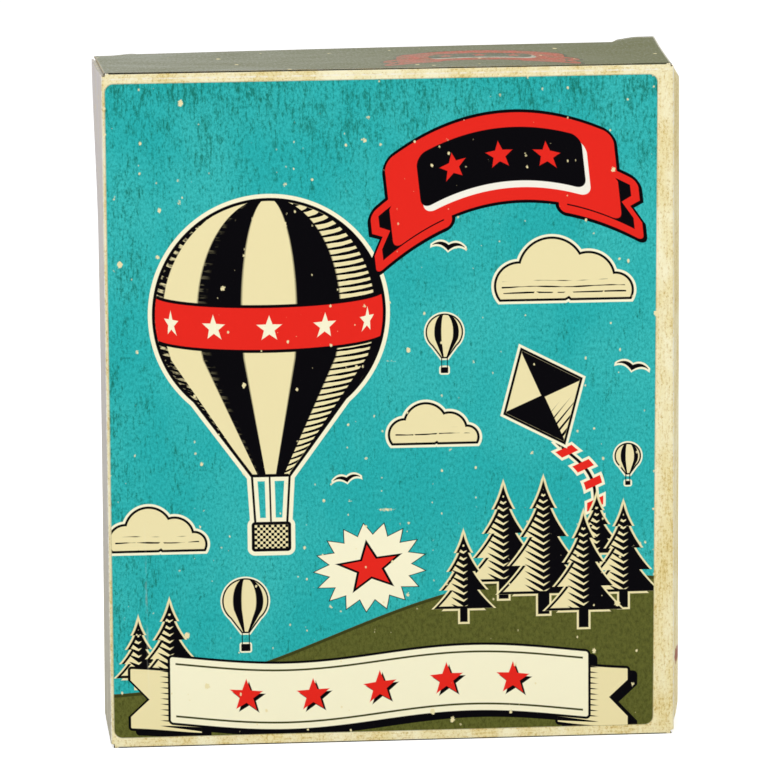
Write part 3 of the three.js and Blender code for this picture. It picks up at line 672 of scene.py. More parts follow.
def badge(skin, x, y, width, height, angle):
    """A blank curved ribbon with cut ends: red, with a black band that carries red stars."""
    u, v = skin.turned(x, y, angle)
    v = v + u * u * (0.6 / width)
    notch = abs(v) * 0.9 - abs(u) + width * 0.36
    body = rounded_box(u, v, width / 2, height / 2, 1.5).most(-notch - height * 0.34)
    drop = v + height * 0.28
    tails = rounded_box(abs(u) - width * 0.42, drop, width * 0.17, height * 0.34, 1.0)
    tails = tails.most(abs(u) - width * 0.545 - abs(drop) * 0.9)
    skin.fill(BLACK, tails.least(body) - 1.3)
    skin.fill(RED, tails - 0.5)
    skin.fill(BLACK, tails + 1.3)
    skin.fill(RED, body - 0.6)
    band = (width / 2 - 6.5, height / 2 - 3.2, 2.4)
    middle = v - height * 0.03
    skin.fill(STOCK_WHITE, rounded_box(u - 0.7, v + 0.75, *band) - 0.2)
    skin.fill(BLACK, rounded_box(u, middle, *band))
    row = star_row(u, middle, width * 0.21, height * 0.17, height * 0.075)
    skin.paint(RED, row.inside() * (abs(u) - width * 0.33).inside())


def burst(skin, x, y, radius, points, angle):
    """A pale many-pointed burst that holds one red star."""
    u, v = skin.turned(x, y, angle)
    v = v * 1.25
    folded = u.arctan(v).to_and_fro(pi / points)
    shape = length(u, v) * (1.0 + folded * (0.36 * points / pi)) - radius
    skin.fill(BLACK, shape - 0.45, 0.3)
    skin.fill(CREAM_LIGHT, shape, 0.3)
    star = star_row(u, v, 4 * radius, radius * 0.56, radius * 0.23).most(shape)
    skin.fill(BLACK, star - 0.35)
    skin.fill(RED, star + 0.2)


def pine(skin, x, y, height):
    """A pine of four saw-edged tiers, lit from the left."""
    away = abs(skin.x - x)
    up = (skin.y - y) * (1 / height)
    reach = (1.0 - up) * (0.40 - (up * 4.0).fraction() * 0.16)
    crown = ((away - reach * height) * 0.9).most(y - skin.y)
    trunk = (away - height * 0.05).most(abs(skin.y - y + height * 0.08) - height * 0.10)
    silhouette(skin, crown.least(trunk), 0.45, CREAM)
    needles = ((skin.y - away * 0.6) * 4.0).sine()
    lit = (x - skin.x) * (1 / height) + needles * 0.10
    skin.paint(CREAM, (crown + 0.6).inside() * lit.ramp(0.04, 0.07))


def banner(skin, x, y, width, height):
    """A blank pale banner with stars over a black drop shadow."""
    for shift in (1.6, 0.0):
        u, v = skin.x - (x + shift), skin.y - (y - shift * 0.7)
        v = v - (u * 0.075).sine() * 1.6
        body = rounded_box(u, v, width / 2 - 9, height / 2, 0.6)
        ends = rounded_box(abs(u) - (width / 2 - 8), v + 2.6, 8, height / 2 - 0.6, 0.4)
        ends = ends.most(abs(u) - (width / 2 - 4.2) - abs(v + 2.6))
        skin.fill(BLACK, body.least(ends) - 0.5)
    skin.fill(CREAM, ends + 0.1)
    strokes = (v * 5.0).sine() - abs(u) * 0.2 + (width / 2 - 7) * 0.2
    skin.paint(BLACK, ends.inside() * strokes.ramp(0.9, 1.1))
    skin.fill(BLACK, body - 0.55)
    skin.fill(CREAM_LIGHT, body)
    rule = abs(abs(v) - (height / 2 - 1.5)) - 0.22
    skin.fill(OLIVE_DARK, rule.most(body + 1.2))
    span = (abs(u) - 38).inside()
    for colour, shift in ((BLACK, 0.6), (RED, 0.0)):
        skin.paint(colour, star_row(u - shift, v + shift, 15.0, 3.9, 1.6).inside() * span)


def picture(skin):
    """A generic open-air picture: balloons, a kite, clouds, birds and pines over olive hills."""
    hills(skin)
    for motif, places in ((cloud, CLOUDS), (bird, BIRDS), (far_balloon, FAR_BALLOONS)):
        for place in places:
            motif(skin, *place)
    balloon(skin, -27, 98, 26)
    kite(skin, 34, 78, 11.5, 24)
    for place in TREES:
        pine(skin, *place)
    badge(skin, 24.5, 132, 50, 18.5, 6)
    burst(skin, -5, 40, 12.5, 17, 8)
    banner(skin, -3, 12.5, 112, 15)


# Board, printed outside and bare inside

SPECKS = [
    (4.6, 0.62, 0.50, (0, 0, 0), (1, 0.8), 1.0),
    (1.9, 0.30, 0.30, (3, 3, 3), (1, 0.8), 1.0),
    (8, 0.42, 0.45, (5, 5, 5), (0.22, 1.1), 1.0),
    (9, 0.42, 0.35, (1, 5, 5), (1.1, 0.30), 0.8),
]


def side_tints(skin):
    """The left side is greyer, partly from its stock's own tint and partly from painted shade, with
    more painted shade lower down; the back is a plain cream.
    """
    x, y = skin.x, skin.y
    def past(edge, along):
        return (along - edge).ramp(-PANEL_EDGE, PANEL_EDGE)

    on_left = past(SIDE_START, -x)
    grey = skin.noise(2.2, 4, (1, 0.10, 1), (5, 2, 8))
    # the cover of the left side's grey tint and painted shade, in upright streaks
    streaked_tint_cover = grey.ramp(0.10, 0.50)
    # grey tint, partly the stock's own colour and partly painted shade, less of it low down
    skin.paint(SIDE_GREY, on_left * y.ramp(-60, 50) * streaked_tint_cover * 0.9)
    # painted shade on the left side panel, deeper lower down
    skin.paint(SIDE_SHADE, on_left * y.ramp(120, 10) * streaked_tint_cover * 0.75)
    skin.paint(BACK_CREAM, past(SIDE_START + DEPTH, x) * (grey * 0.2 + 0.72))
    return past(SIDE_START, abs(x))


def print_material():
    """The outside of the sleeve: the front picture, and plain aged stock round the other panels."""
    skin = Skin("carton_print", CREAM, printed=True)
    x, y = skin.x, skin.y
    aged_stock(skin)
    on_side = side_tints(skin)
    spread = (x - FIELD_LEFT) * (y - HEIGHT / 2) * FIELD_SPREAD
    field = rounded_box(
        x - (FIELD_LEFT + FIELD_RIGHT) / 2 - spread, y - (FIELD_LOW + FIELD_HIGH) / 2,
        (FIELD_RIGHT - FIELD_LEFT) / 2, (FIELD_HIGH - FIELD_LOW) / 2, FIELD_CORNER,
    )
    stock, skin.colour = skin.colour, sky(skin)
    picture(skin)
    art, skin.colour = skin.colour, stock
    skin.paint(OLIVE_DARK, (field - 0.10).inside() * 0.35)
    skin.fill(art, field + 0.05)
    ragged = skin.noise(0.55, 4, rough=0.7)
    for spacing, size, share, shift, stretch, cover in SPECKS:
        skin.paint(CREAM, skin.specks(spacing, size, share, ragged, shift, stretch) * cover)
    scuff = skin.noise(1.1, 4, (1, 1, 1), (7, 7, 7), rough=0.7)
    stain = rounded_box(x - STAIN_AT[0], y - STAIN_AT[1], 5, 1.6, 1.5)
    skin.paint(RED_DARK, (stain + (scuff - 0.5) * 4.0).inside(0.6) * 0.85)
    at_fold = abs(abs(x) - SIDE_START).ramp(0.6, 0.0) * 0.86
    at_end = y.least(HEIGHT - y).ramp(0.8, 0.0) * (1.0 - on_side * 0.9)
    skin.paint(STOCK_WHITE, (at_fold.most(at_end) + scuff - 1.0).ramp(0.14, 0.34) * 0.9)
    crack = abs(y - TOP_CRACK + (scuff - 0.5) * 0.3) - 0.14
    across = skin.noise(0.9, 3, (1, 0.2, 1), (1, 9, 2))
    skin.paint(STOCK_WHITE, crack.inside(0.3) * across.ramp(0.34, 0.6) * (1.0 - on_side) * 0.9)
    crease = abs(x - CREASE_AT + (y * 0.02).sine() * 0.8) - 0.1
    creased = crease.inside(0.5) * y.ramp(54, 40) * y.ramp(6, 20) * across.ramp(0.4, 0.6)
    skin.paint(STOCK_WHITE, creased * 0.25)
    fibre = skin.noise(0.35, 4, (1, 0.35, 1), (6, 1, 4))
    dent = skin.noise(14, 2, (1, 1, 1), (2, 8, 5))
    height = fibre * 0.25 + dent * 1.6 - crack.inside(0.5) * 0.6 - creased * 0.6
    return skin.finish(fibre.ramp(0.2, 0.9) * 0.14 + 0.5, height, 0.05, 0.03)


def lid_material():
    """The outside of a lid and its tuck: olive under a painted sheen that stands for reflected light,
    brighter to the left, with a small blank badge and a painted shadow line along the hinge.
    """
    skin = Skin("lid_print", LID_OLIVE, printed=True)
    x, y = skin.x, skin.y
    badge(skin, 22, 17.5, 36, 11.5, -3)
    grain = skin.noise(0.6, 5, (1, 0.35, 1), (8, 2, 1), rough=0.8)
    film = skin.noise(1.4, 4, (0.5, 0.6, 1), (1, 6, 3), rough=0.7)
    sheen_and_dent_noise = skin.noise(5, 4, (0.25, 1, 1), (3, 1, 7))
    # painted reflection: where the pale sheen lies, in patches
    painted_sheen_cover = (sheen_and_dent_noise * 0.4 + grain * -0.6 + 0.6).ramp(0.25, 0.65)
    skin.paint(LID_OLIVE, film.ramp(0.30, 0.66) * 0.6 + 0.2)
    skin.paint(OLIVE, grain.ramp(0.48, 0.66) * 0.55)
    # painted sheen in the low places of the grain
    skin.paint(LID_PAINTED_SHEEN, grain.ramp(0.46, 0.32) * 0.35)
    # painted reflection over the lid, brighter towards the left
    skin.paint(LID_PAINTED_SHEEN, painted_sheen_cover * (x.ramp(75, -55) * 0.75 + 0.1))
    ragged = skin.noise(0.55, 4, rough=0.7)
    skin.paint(CREAM, skin.specks(3.6, 0.55, 0.45, ragged) * 0.8)
    edge = (HALF_WIDTH - LAYER - abs(x)) + (ragged - 0.5) * 0.3
    skin.paint(STOCK_WHITE, edge.ramp(0.35, 0.1) * (x.ramp(-60, 60) * 0.4 + 0.15))
    fold = abs(y - (HINGE["top_tuck_fold"].y - HINGE["top_lid_hinge"].y))
    skin.paint(STOCK_WHITE, (fold.ramp(0.5, 0.0) + ragged - 1.0).ramp(0.05, 0.3) * 0.5)
    # painted shadow along the hinge edge: the gap under the front panel at the top lid, and the contact
    # shadow on the floor at the bottom lid, a little lighter to the right
    skin.paint(LID_PAINTED_SHADOW, (y - 0.50).inside(0.3) * x.ramp(260, -40) * 0.95)
    return skin.finish(grain.ramp(0.2, 0.9) * 0.12 + 0.5, grain * 0.3 + sheen_and_dent_noise, 0.05, 0.05)


def pulp_material(name, tint, lighter):
    """The unprinted board: grey pulp with short fibres."""
    skin = Skin(name, tint)
    fibre = skin.noise(0.8, 4, (1, 1, 0.4), (1, 2, 3), rough=0.65)
    skin.paint(ink(150, 138, 116), fibre.ramp(0.5, 0.8) * 0.6)
    skin.paint(lighter, skin.noise(7, 3, (1, 1, 1), (4, 4, 4)).ramp(0.4, 0.7) * 0.4)
    return skin.finish(0.85, fibre, 0.04, 0.2)


PRINT = print_material()
LID = lid_material()
INSIDE = pulp_material("board_inside", ink(186, 173, 150), ink(205, 194, 172))
CUT = pulp_material("board_cut_edge", ink(192, 180, 152), ink(212, 202, 176))


# How the board bows, leans and sinks

REAR_LEFT_SINK = -0.12
REAR_RIGHT_RISE = 0.85
REAR_MIDDLE_RISE = 0.20
LEAN = 0.08
LEAN_BACK_AT_MIDDLE = 0.25
TOP_LEAN = 0.36
TOP_LEAN_TO_RIGHT = -0.40
SIDE_BOW = 2.8
SIDE_BOW_LOW_SHARE = 0.88
SIDE_BOW_EDGE_LOW = 2.4
SIDE_BOW_EDGE_HIGH = 4.0
FRONT_BOW = 0.25
BACK_BOW = 0.7


def arch(x):
    """1 at the carton's middle line and 0 at its sides."""
    return cos(pi * x / (2 * HALF_WIDTH))


def back_share(y):
    return clamp((y - FRONT) / DEPTH)


def warp(x, y, z, lift=0.0):
    """Where a place on the square carton lies on the warped one."""
    share = back_share(y)
    top_lean = TOP_LEAN + TOP_LEAN_TO_RIGHT * x / HALF_WIDTH
    lean = LEAN + top_lean * smooth(0.72, 1.0, z / HEIGHT)
    lean -= LEAN_BACK_AT_MIDDLE * sin(pi * z / HEIGHT)
    sink = mix(REAR_LEFT_SINK, REAR_RIGHT_RISE, (x + HALF_WIDTH) / (2 * HALF_WIDTH))
    sink += REAR_MIDDLE_RISE * arch(x)
    lift += smooth(0.90, 0.99, z / HEIGHT) * share ** 1.4 * sink
    return Vector((x - lean * share, y, z + lift))


def side_bow(y, z):
    """How far the right side panel stands out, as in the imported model; a little less lower down."""
    low, high = BOX["left_side_panel"]
    across = cos(pi / 2 * clamp(y / high.y, -1))
    from_edge = clamp(min((z - low.z) / SIDE_BOW_EDGE_LOW, (high.z - z) / SIDE_BOW_EDGE_HIGH))
    share = mix(SIDE_BOW_LOW_SHARE, 1.0, z / HEIGHT)
    return SIDE_BOW * share * across * sin(pi / 2 * from_edge)


# Sheets of board

CUT_REACH = 0.35
CUT_SPREAD = 0.92
ROLL_SWELL = 1.05


def board_mesh(name, grid, turns, outside, swell=1.0):
    """A sheet of board with round or cut edges all round.

    grid holds, column by column, places on its middle: the point, the outward way, the print place.
    turns says how round the edges are, left, right, low and high, from 0, cut, to 1, a fold.
    swell makes the fold's roll a little larger where another board turns in it.
    """
    columns, rows = len(grid), len(grid[0])
    half = BOARD / 2
    points, marks, faces, kinds = [], [], [], []

    def add(i, j, forward, aside=Vector((0, 0, 0))):
        point, outward, mark = grid[i][j]
        points.append(point + outward * forward + aside)
        marks.extend((*mark, 0.0))
        return len(points) - 1

    places = [(i, j) for i in range(columns) for j in range(rows)]
    outer = {(i, j): add(i, j, half) for i, j in places}
    inner = {(i, j): add(i, j, -half) for i, j in places}
    for i in range(columns - 1):
        for j in range(rows - 1):
            ring = ((i, j), (i + 1, j), (i + 1, j + 1), (i, j + 1))
            faces.append(tuple(outer[k] for k in ring))
            faces.append(tuple(inner[k] for k in reversed(ring)))
            kinds += [0, 1]
    low_edge = [(i, 0, 2) for i in range(columns - 1)]
    right_edge = [(columns - 1, j, 1) for j in range(rows - 1)]
    high_edge = [(i, rows - 1, 3) for i in range(columns - 1, 0, -1)]
    left_edge = [(0, j, 0) for j in range(rows - 1, 0, -1)]
    rims = []
    for i, j, side in low_edge + right_edge + high_edge + left_edge:
        away = Vector((0, 0, 0))
        roundness = 0.0
        inward = ((1, j), (columns - 2, j), (i, 1), (i, rows - 2))
        touching = (i == 0, i == columns - 1, j == 0, j == rows - 1)
        for (a, b), touches, turn in zip(inward, touching, turns):
            if touches:
                away += (grid[i][j][0] - grid[a][b][0]).normalized()
                roundness = max(roundness, turn)
        away.normalize()
        size = half * mix(1.0, swell, roundness)
        rim = [outer[i, j]]
        for step in (1, 0, -1):
            angle = radians(90 - 45 * step)
            spread = size * mix(CUT_SPREAD * step, cos(angle), roundness)
            reach = size * mix(CUT_REACH, 1.0, roundness) * sin(angle)
            rim.append(add(i, j, spread, away * reach))
        rims.append((rim + [inner[i, j]], side))
    printed_faces = 3 if swell > 1 else 2
    for (rim, side), (following, _) in zip(rims, rims[1:] + rims[:1]):
        for m in range(len(rim) - 1):
            faces.append((rim[m], rim[m + 1], following[m + 1], following[m]))
            kinds.append(int(m >= printed_faces) if turns[side] > 0.5 else 2)
    made = mesh_object(name, points, faces, [outside, INSIDE, CUT], kinds)
    attribute = made.data.attributes.new("print_mm", "FLOAT_VECTOR", "POINT")
    attribute.data.foreach_set("vector", marks)
    return made


SLEEVE_ROWS = 74
WALL_STEP = 2.0
BOWED_STEP = 1.2
SEAM_END_GAP = 0.5
SEAM_END_CUT = 7.0
BACK_EDGE_GAP = 0.4
PANEL_JOG = 0.02


def sleeve_columns():
    """The strip of board seen from above: place, outward way, both ends, panel, print place."""
    wall, r = HALF_WIDTH - BOARD / 2, FOLD_RADIUS
    front, back = FRONT + BOARD / 2, BACK - BOARD / 2
    seam = wall - LAYER
    side_ends = HINGE["bottom_dust_fold_left"].z, HINGE["top_dust_fold_left"].z
    front_ends = HINGE["bottom_lid_hinge"].z, HINGE["top_lid_hinge"].z
    columns = []

    def straight(start, end, outward, ends, panel, step=WALL_STEP):
        span = dist(start, end)
        for s in spaced(0.0, span, step):
            x, y = (mix(a, b, s / span) for a, b in zip(start, end))
            columns.append((x, y, outward, ends, panel))

    def fold(x, y, start, cut=0.0):
        for degrees in range(start + 15, start + 90, 15):
            out = (cos(radians(degrees)), sin(radians(degrees)))
            ends = (side_ends[0] + cut, side_ends[1] - cut)
            columns.append((x + r * out[0], y + r * out[1], out, ends, "fold"))

    straight((-wall, back - BACK_EDGE_GAP), (-wall, front + r), (-1, 0), side_ends, "left")
    fold(-wall + r, front + r, 180)
    columns.append((-wall + r - PANEL_JOG, front, (0, -1), side_ends, "fold"))
    straight((-wall + r, front), (wall - r, front), (0, -1), front_ends, "front")
    columns.append((wall - r + PANEL_JOG, front, (0, -1), side_ends, "fold"))
    fold(wall - r, front + r, 270)
    straight((wall, front + r), (wall, back - r), (1, 0), side_ends, "right", BOWED_STEP)
    fold(wall - r, back - r, 0)
    straight((wall - r, back), (-seam + r, back), (0, 1), side_ends, "back")
    fold(-seam + r, back - r, 90, SEAM_END_GAP)
    free = BOX["glue_flap"][0].y
    for y in spaced(free, back - r, WALL_STEP)[::-1]:
        cut = SEAM_END_GAP + SEAM_END_CUT * (back - r - y) / (back - r - free)
        columns.append((-seam, y, (-1, 0), (side_ends[0] + cut, side_ends[1] - cut), "flap"))
    walked = [0.0]
    for a, b in zip(columns, columns[1:]):
        walked.append(walked[-1] + dist(a[:2], b[:2]))
    on_front = [w for c, w in zip(columns, walked) if c[4] == "front"]
    zero = (on_front[0] + on_front[-1]) / 2
    return [(*c, w - zero) for c, w in zip(columns, walked)]


def sleeve_point(x, y, z, panel):
    point = warp(x, y, z)
    bow = arch(x) * sin(pi * z / HEIGHT)
    if panel == "right":
        point.x += side_bow(y, z)
    elif panel == "front":
        point.y -= FRONT_BOW * bow * noise.noise(Vector((x, 0, z)) * 0.02 + Vector((3, 3, 3)))
    elif panel == "back":
        point.y += BACK_BOW * bow
    return point


def make_sleeve():
    columns = sleeve_columns()
    shares = spaced(0.0, 1.0, 1 / SLEEVE_ROWS, 0.004)
    middle = [[sleeve_point(x, y, mix(*ends, s), panel) for s in shares]
              for x, y, _, ends, panel, _ in columns]
    grid = []
    for i, (_, _, out, ends, panel, u) in enumerate(columns):
        line = []
        for point, share, j in zip(middle[i], shares, range(len(shares))):
            outward = Vector((*out, 0))
            if panel == "right":
                along = middle[i + 1][j] - middle[i - 1][j]
                outward = Vector((along.y, -along.x, 0)).normalized()
            line.append((point, outward, (u, mix(*ends, share))))
        grid.append(line)
    made = board_mesh("carton_sleeve", grid, (0, 0, 1, 1), PRINT)
    stands_for(made, "sleeve", "front_print", "front_panel", "back_panel", "left_side_panel",
               "right_side_panel", "glue_flap")


SHOULDER_WIDTH = 9.5
SLIT_INNER = BOX["top_lid"][1].x - SHOULDER_WIDTH
SLIT_RAMP = 1.2
LID_BACK_GAP = 0.1
SHOULDER_RISE = 0.65
SHOULDER_STEP = 0.25
LEFT_SHOULDER_DIP = 0.3
LID_SAG = 0.25


def lid_lift(x, y):
    """What the top lid does beyond the warp: its right shoulder rides up at the back."""
    share = back_share(y)
    rise = SHOULDER_RISE * smooth(SLIT_INNER - 0.3, SLIT_INNER + 6, x) * share
    rise += SHOULDER_STEP * smooth(SLIT_INNER - 0.1, SLIT_INNER + 0.9, x) * smooth(0.6, 1.0, share)
    dip = LEFT_SHOULDER_DIP * smooth(SLIT_INNER + 1, SLIT_INNER + 6, -x) * smooth(0.4, 1.0, share)
    return rise - dip - LID_SAG * arch(x) * sin(pi * share)


def make_flap(name, node, columns, rows, place, turns, outside, slot, swell=1.0):
    """Board from place, which takes a column's and a row's value and gives a place of the grid."""
    grid = [[place(column, row) for row in rows] for column in columns]
    stands_for(board_mesh(name + "_board", grid, turns, outside, swell), node, slot, node)


def slit_places(inner, gap, half):
    """Places from -half to half across a board that is slit from inner to inner + gap."""
    outside = spaced(inner + gap, half, BOWED_STEP)
    return [-x for x in reversed(outside)] + spaced(-inner, inner, WALL_STEP) + outside


def make_lid(prefix, upward):
    hinge, tuck = HINGE[prefix + "_lid_hinge"], HINGE[prefix + "_tuck_fold"]

    def place(x, share):
        reach = (BACK - LID_BACK_GAP if abs(x) > SLIT_INNER + 0.1 else tuck.y) - hinge.y
        y = hinge.y + reach * share
        point = warp(x, y, hinge.z, lid_lift(x, y) if upward > 0 else 0.0)
        return point, Vector((0, 0, upward)), (x, reach * share)

    columns = slit_places(SLIT_INNER, SLIT_RAMP, HALF_WIDTH - LAYER)
    make_flap(prefix + "_lid", prefix + "_lid", columns, spaced(0.0, 1.0, 1 / 16, 0.015), place,
              (0, 0, 1, 1), LID, "lid_print", ROLL_SWELL)


TUCK_LEAN = 18.0
TUCK_LENGTH = 12.5
TUCK_CORNER = 7.0
TUCK_CURL = 0.35
TUCK_FOLD_GAP = 0.3
TUCK_LEAST_END = 0.2
LIFT_LIMIT = 50


def make_tuck(prefix, upward):
    lid, hinge = HINGE[prefix + "_lid_hinge"], HINGE[prefix + "_tuck_fold"]
    half = BOX[prefix + "_tuck_flap"][1].x
    fold_half = SLIT_INNER - TUCK_FOLD_GAP
    lean = radians(TUCK_LEAN)
    down = Vector((0, -sin(lean), -upward * cos(lean)))
    out = Vector((0, cos(lean), -upward * sin(lean)))

    def place(x, share):
        start = 0.0 if abs(x) < fold_half + 0.05 else LAYER + TUCK_FOLD_GAP
        inset = max(0.0, abs(x) - (half - TUCK_CORNER))
        end = TUCK_LENGTH - TUCK_CORNER + sqrt(max(TUCK_CORNER ** 2 - inset ** 2, TUCK_LEAST_END ** 2))
        risen = warp(x, hinge.y, hinge.z, lid_lift(clamp(x, -LIFT_LIMIT, LIFT_LIMIT), hinge.y))
        lift = risen.z - hinge.z if upward > 0 else 0.0
        along = mix(start, end, share)
        curl = Vector((0, TUCK_CURL * sin(pi * share), -lift * (1 - 0.5 * share)))
        flat = Vector((risen.x, hinge.y, hinge.z)) + down * along
        return flat - curl, out, (x, hinge.y - lid.y + along)

    make_flap(prefix + "_tuck", prefix + "_tuck_flap", slit_places(fold_half, 0.1, half),
              spaced(0.0, 1.0, 1 / 10, 0.02), place, (0, 0, 1, 0), LID, "lid_print")


DUST_REACH = 30.0
DUST_TAPER = 29.0
DUST_TIP = 4.0
DUST_NOTCH = 1.6
DUST_NOTCH_FROM = 9.3
DUST_NOTCH_TO = 11.3
DUST_CURL = 0.3
DUST_PRINT_WIDTH = 25
DUST_PRINT_LOW = 40


def make_dust_flap(prefix, side, upward):
    hand = "left" if side < 0 else "right"
    name = f"{prefix}_dust_flap_{hand}"
    hinge = HINGE[f"{prefix}_dust_fold_{hand}"]
    low, high = BOX[name]

    def place(share, across):
        along = DUST_REACH * share
        near = low.y + along * tan(radians(DUST_TAPER))
        tip = max(0.0, along - (DUST_REACH - DUST_TIP))
        far = high.y - DUST_NOTCH * smooth(DUST_NOTCH_FROM, DUST_NOTCH_TO, along)
        far -= DUST_TIP - sqrt(max(DUST_TIP ** 2 - tip ** 2, 0.0))
        curl = -DUST_CURL * share * share * upward
        point = warp(hinge.x - side * along, mix(near, far, across), hinge.z, curl)
        mark = (side * (SIDE_START + 2 + across * DUST_PRINT_WIDTH), DUST_PRINT_LOW + along)
        return point, Vector((0, 0, upward)), mark

    make_flap(name, name, spaced(0.0, 1.0, 1 / 20, 0.01), spaced(0.0, 1.0, 1 / 12), place,
              (1, 0, 0, 0), PRINT, "plain_board", ROLL_SWELL)


make_sleeve()
for prefix, upward in (("top", 1), ("bottom", -1)):
    make_lid(prefix, upward)
    make_tuck(prefix, upward)
    for side in (-1, 1):
        make_dust_flap(prefix, side, upward)


# The moulded figure, its ring and the rubber band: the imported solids, smoothed, with real finishes

FIGURE_GRAIN = 0.55
BAND_ROUNDING = 0.3


def plastic_material():
    skin = Skin("figure_plastic", ink(104, 118, 62))
    flow = skin.noise(9, 3, (1, 1, 0.4), (2, 5, 1))
    skin.paint(ink(82, 95, 48), flow.ramp(0.4, 0.7) * 0.6)
    skin.paint(ink(126, 138, 84), skin.noise(0.9, 2, (1, 1, 1), (7, 3, 1)).ramp(0.6, 0.8) * 0.25)
    grain = skin.noise(0.25, 3)
    return skin.finish(grain.ramp(0.2, 0.8) * 0.12 + 0.42, grain, 0.02, 0.45)


def wire_material():
    skin = Skin("plated_wire", ink(190, 188, 180))
    drawn = skin.noise(0.3, 3, (1, 1, 0.3))
    skin.paint(ink(140, 134, 120), drawn.ramp(0.5, 0.8) * 0.6)
    return skin.finish(drawn.ramp(0.2, 0.8) * 0.25 + 0.25, drawn, 0.01, 0.5, {"Metallic": 1.0})


def rubber_material():
    skin = Skin("natural_rubber", ink(190, 148, 96))
    bloom = skin.noise(1.8, 3, (1, 1, 0.3), (3, 3, 1))
    skin.paint(ink(214, 184, 140), bloom.ramp(0.5, 0.75) * 0.5)
    return skin.finish(0.62, bloom + (skin.z * 9.0).sine() * 0.3, 0.03, 0.3)


def dress_node(name, material, *modifiers):
    """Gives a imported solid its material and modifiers, each written as (kind, settings)."""
    made = frame["nodes"][name]
    made.data.materials.clear()
    made.data.materials.append(material)
    for kind, settings in modifiers:
        with_settings(made.modifiers.new(kind.lower(), kind), settings)


dress_node(
    "figure", plastic_material(),
    ("REMESH", {"mode": "VOXEL", "voxel_size": FIGURE_GRAIN * MM, "use_smooth_shade": True}),
    ("SMOOTH", {"factor": 0.5, "iterations": 4}),
)
dress_node("line_ring", wire_material(), ("SUBSURF", {"levels": 2, "render_levels": 2}))
dress_node("rubber_band", rubber_material(), ("BEVEL", {
    "width": BAND_ROUNDING * MM, "segments": 3, "limit_method": "ANGLE", "angle_limit": radians(50),
}))


# The canopy: one square of cloth, folded in four and then in seven

CLOTH_THICKNESS = 0.12
STACK_CENTRE = (BOX["canopy"][0] + BOX["canopy"][1]) / 2
STACK_SIZE = BOX["canopy"][1] - BOX["canopy"][0]
STACK_HALF = STACK_SIZE / 2
FOLDS_UP = 4
FOLDS_ACROSS = 7
LAYER_PITCH = 0.40
CLEAR_UP = 0.4
CLEAR_ACROSS = 0.6
CLEAR_AT_SIDES = 0.2
CLOTH_STEP_UP = 5.0
CLOTH_STEP_ACROSS = 4.0
HALF_TURN_STEPS = 6
ROUNDED_ENDS = 0.055
BAND_PINCH = 0.09
BAND_PINCH_REACH = 9.0
FREE_SWELL = 1.10
RUFFLES = [(0.45, (9.3, -1.5, -7.9)), (0.12, (0, 0, 0)), (0.5, (6.3, 0.2, -2.7))]


def cloth_material():
    skin = Skin("canopy_cloth", ink(236, 228, 206))
    weave = ((skin.x * 22.0).sine() * (skin.z * 22.0).sine()).ramp(-1, 1)
    skin.paint(ink(206, 195, 166), weave * 0.35)
    skin.paint(ink(216, 205, 178), skin.noise(6, 3).ramp(0.45, 0.75) * 0.4)
    return skin.finish(0.85, weave, 0.05, 0.15, {"Sheen Weight": 0.15})


def zigzag(straight, radius, count, step):
    """A line of count straights joined by half circles: (along, across, way along, way across)."""
    places = []
    for k in range(count):
        way = 1 if k % 2 == 0 else -1
        level = 2 * radius * k
        for t in spaced(0.0, 1.0, step / straight)[:-1]:
            places.append((way * (t - 0.5) * straight, level, way, 0.0))
        if k == count - 1:
            places.append((way * straight / 2, level, way, 0.0))
            break
        for i in range(HALF_TURN_STEPS):
            angle = pi * i / HALF_TURN_STEPS
            places.append((
                way * (straight / 2 + radius * sin(angle)), level + radius * (1 - cos(angle)),
                way * cos(angle), sin(angle),
            ))
    return places


def make_canopy():
    """The first folding gives four upright layers, and the second folds that strip in seven."""
    strip = FOLDS_UP * LAYER_PITCH
    depth = STACK_SIZE.y - strip
    pitch = depth / (FOLDS_ACROSS - 1)
    tall, wide = STACK_SIZE.z - LAYER_PITCH - CLEAR_UP, STACK_SIZE.x - pitch - strip - CLEAR_ACROSS
    upright = zigzag(tall, LAYER_PITCH / 2, FOLDS_UP, CLOTH_STEP_UP)
    across = zigzag(wide, pitch / 2, FOLDS_ACROSS, CLOTH_STEP_ACROSS)
    limit = STACK_HALF.x - CLEAR_AT_SIDES
    points, faces = [], []
    for ax, ay, way_x, way_y in across:
        for up, layer, _, _ in upright:
            offset = layer - (strip - LAYER_PITCH) / 2
            x = ax - way_y * offset
            y = ay - depth / 2 + way_x * offset
            x *= 1 - ROUNDED_ENDS * (y / STACK_HALF.y) ** 2
            y *= FREE_SWELL - BAND_PINCH * exp(-(up / BAND_PINCH_REACH) ** 2)
            spot = Vector((x * 0.06, y * 0.5, up * 0.05))
            out, aside, rise = (size * noise.noise(spot + Vector(shift)) for size, shift in RUFFLES)
            x += out * abs(ax) / STACK_HALF.x
            z = up + rise * abs(up) / STACK_HALF.z
            points.append(STACK_CENTRE + Vector((clamp(x, -limit, limit), y + aside, z)))
    rows = len(upright)
    for i in range(len(across) - 1):
        for a in range(i * rows, (i + 1) * rows - 1):
            faces.append((a, a + 1, a + rows + 1, a + rows))
    made = mesh_object("canopy_cloth_sheet", points, faces, [cloth_material()])
    stands_for(made, "sleeve", "canopy_cloth", "canopy")
    solid = made.modifiers.new("thickness", "SOLIDIFY")
    solid.thickness, solid.offset = CLOTH_THICKNESS * MM, 0.0


make_canopy()


# Stage and light

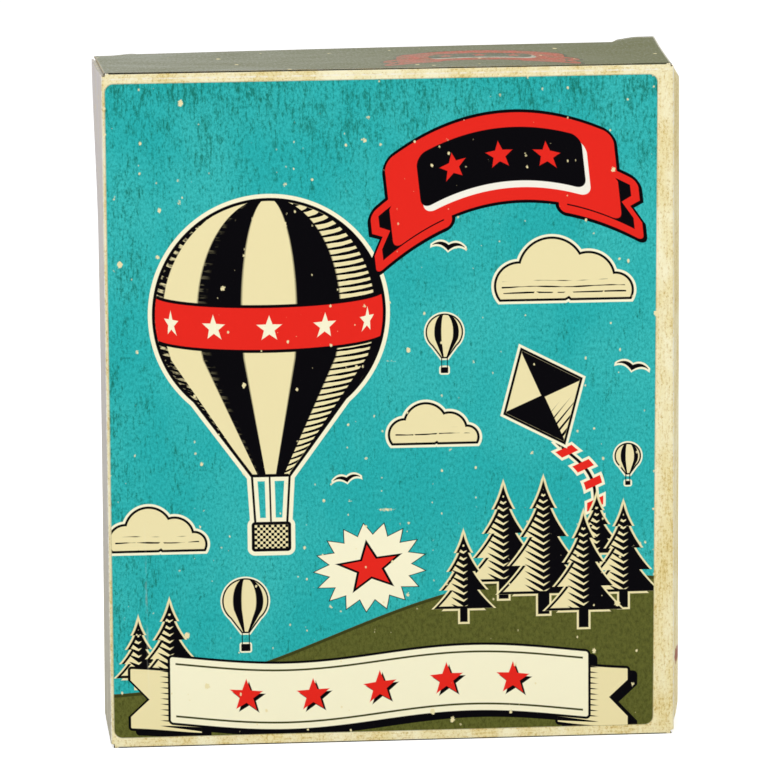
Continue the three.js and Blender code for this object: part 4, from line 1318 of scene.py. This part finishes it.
WORLD_LIGHT = 0.464
FLOOR_GLOW = 0.60
FLOOR_GREY = 0.8
FLOOR_HALF = 3000
FLOOR_DROP = 0.02
LIGHT_AIM = Vector((0, 0, 70))
LIGHTS = [
    ("key", (-550, -1300, 1000), 700, 8.5),
    ("fill", (900, -1200, 700), 800, 4.8),
    ("top", (-100, 200, 1300), 800, 5.0),
]


def seen(tree):
    """1 for rays that show the background: straight from the camera, mirrored or refracted."""
    path = add_node(tree, "LightPath")
    rays = [Wire(tree, path.outputs[f"Is {kind} Ray"]) for kind in ("Camera", "Glossy", "Transmission")]
    return rays[0].most(rays[1]).most(rays[2])


def floor_material():
    """White to the camera and matte to the lamps from above, clear from below."""
    material = bpy.data.materials.new("floor")
    tree = empty_tree(material)
    matte = add_node(tree, "BsdfDiffuse", [(FLOOR_GREY, FLOOR_GREY, FLOOR_GREY, 1)])
    glow = add_node(tree, "Emission", {1: seen(tree) * FLOOR_GLOW})
    both = add_node(tree, "AddShader", [matte, glow])
    below = add_node(tree, "NewGeometry").outputs["Backfacing"]
    clear = add_node(tree, "BsdfTransparent")
    choose = add_node(tree, "MixShader", [below, both, clear])
    add_node(tree, "OutputMaterial", [choose])
    return material


def make_stage():
    corners = [(u * FLOOR_HALF, v * FLOOR_HALF, 0) for u, v in ((-1, -1), (1, -1), (1, 1), (-1, 1))]
    floor = mesh_object("floor", corners, [(0, 1, 2, 3)], [floor_material()])
    floor.location.z = -FLOOR_DROP * MM


def make_world():
    world = bpy.data.worlds.new("studio")
    bpy.context.scene.world = world
    tree = empty_tree(world)
    strength = seen(tree) * (1.0 - WORLD_LIGHT) + WORLD_LIGHT
    background = add_node(tree, "Background", [(1, 1, 1, 1), strength])
    add_node(tree, "OutputWorld", [background])


def make_light(name, place, size, power):
    data = bpy.data.lights.new(name, "AREA")
    data.shape, data.size, data.energy = "SQUARE", size * MM, power
    light = add_object(name, data)
    light.location = Vector(place) * MM
    light.rotation_mode = "QUATERNION"
    light.rotation_quaternion = (LIGHT_AIM - Vector(place)).to_track_quat("-Z", "Y")


make_stage()
make_world()
for settings in LIGHTS:
    make_light(*settings)
bpy.context.scene.view_settings.view_transform = "Standard"
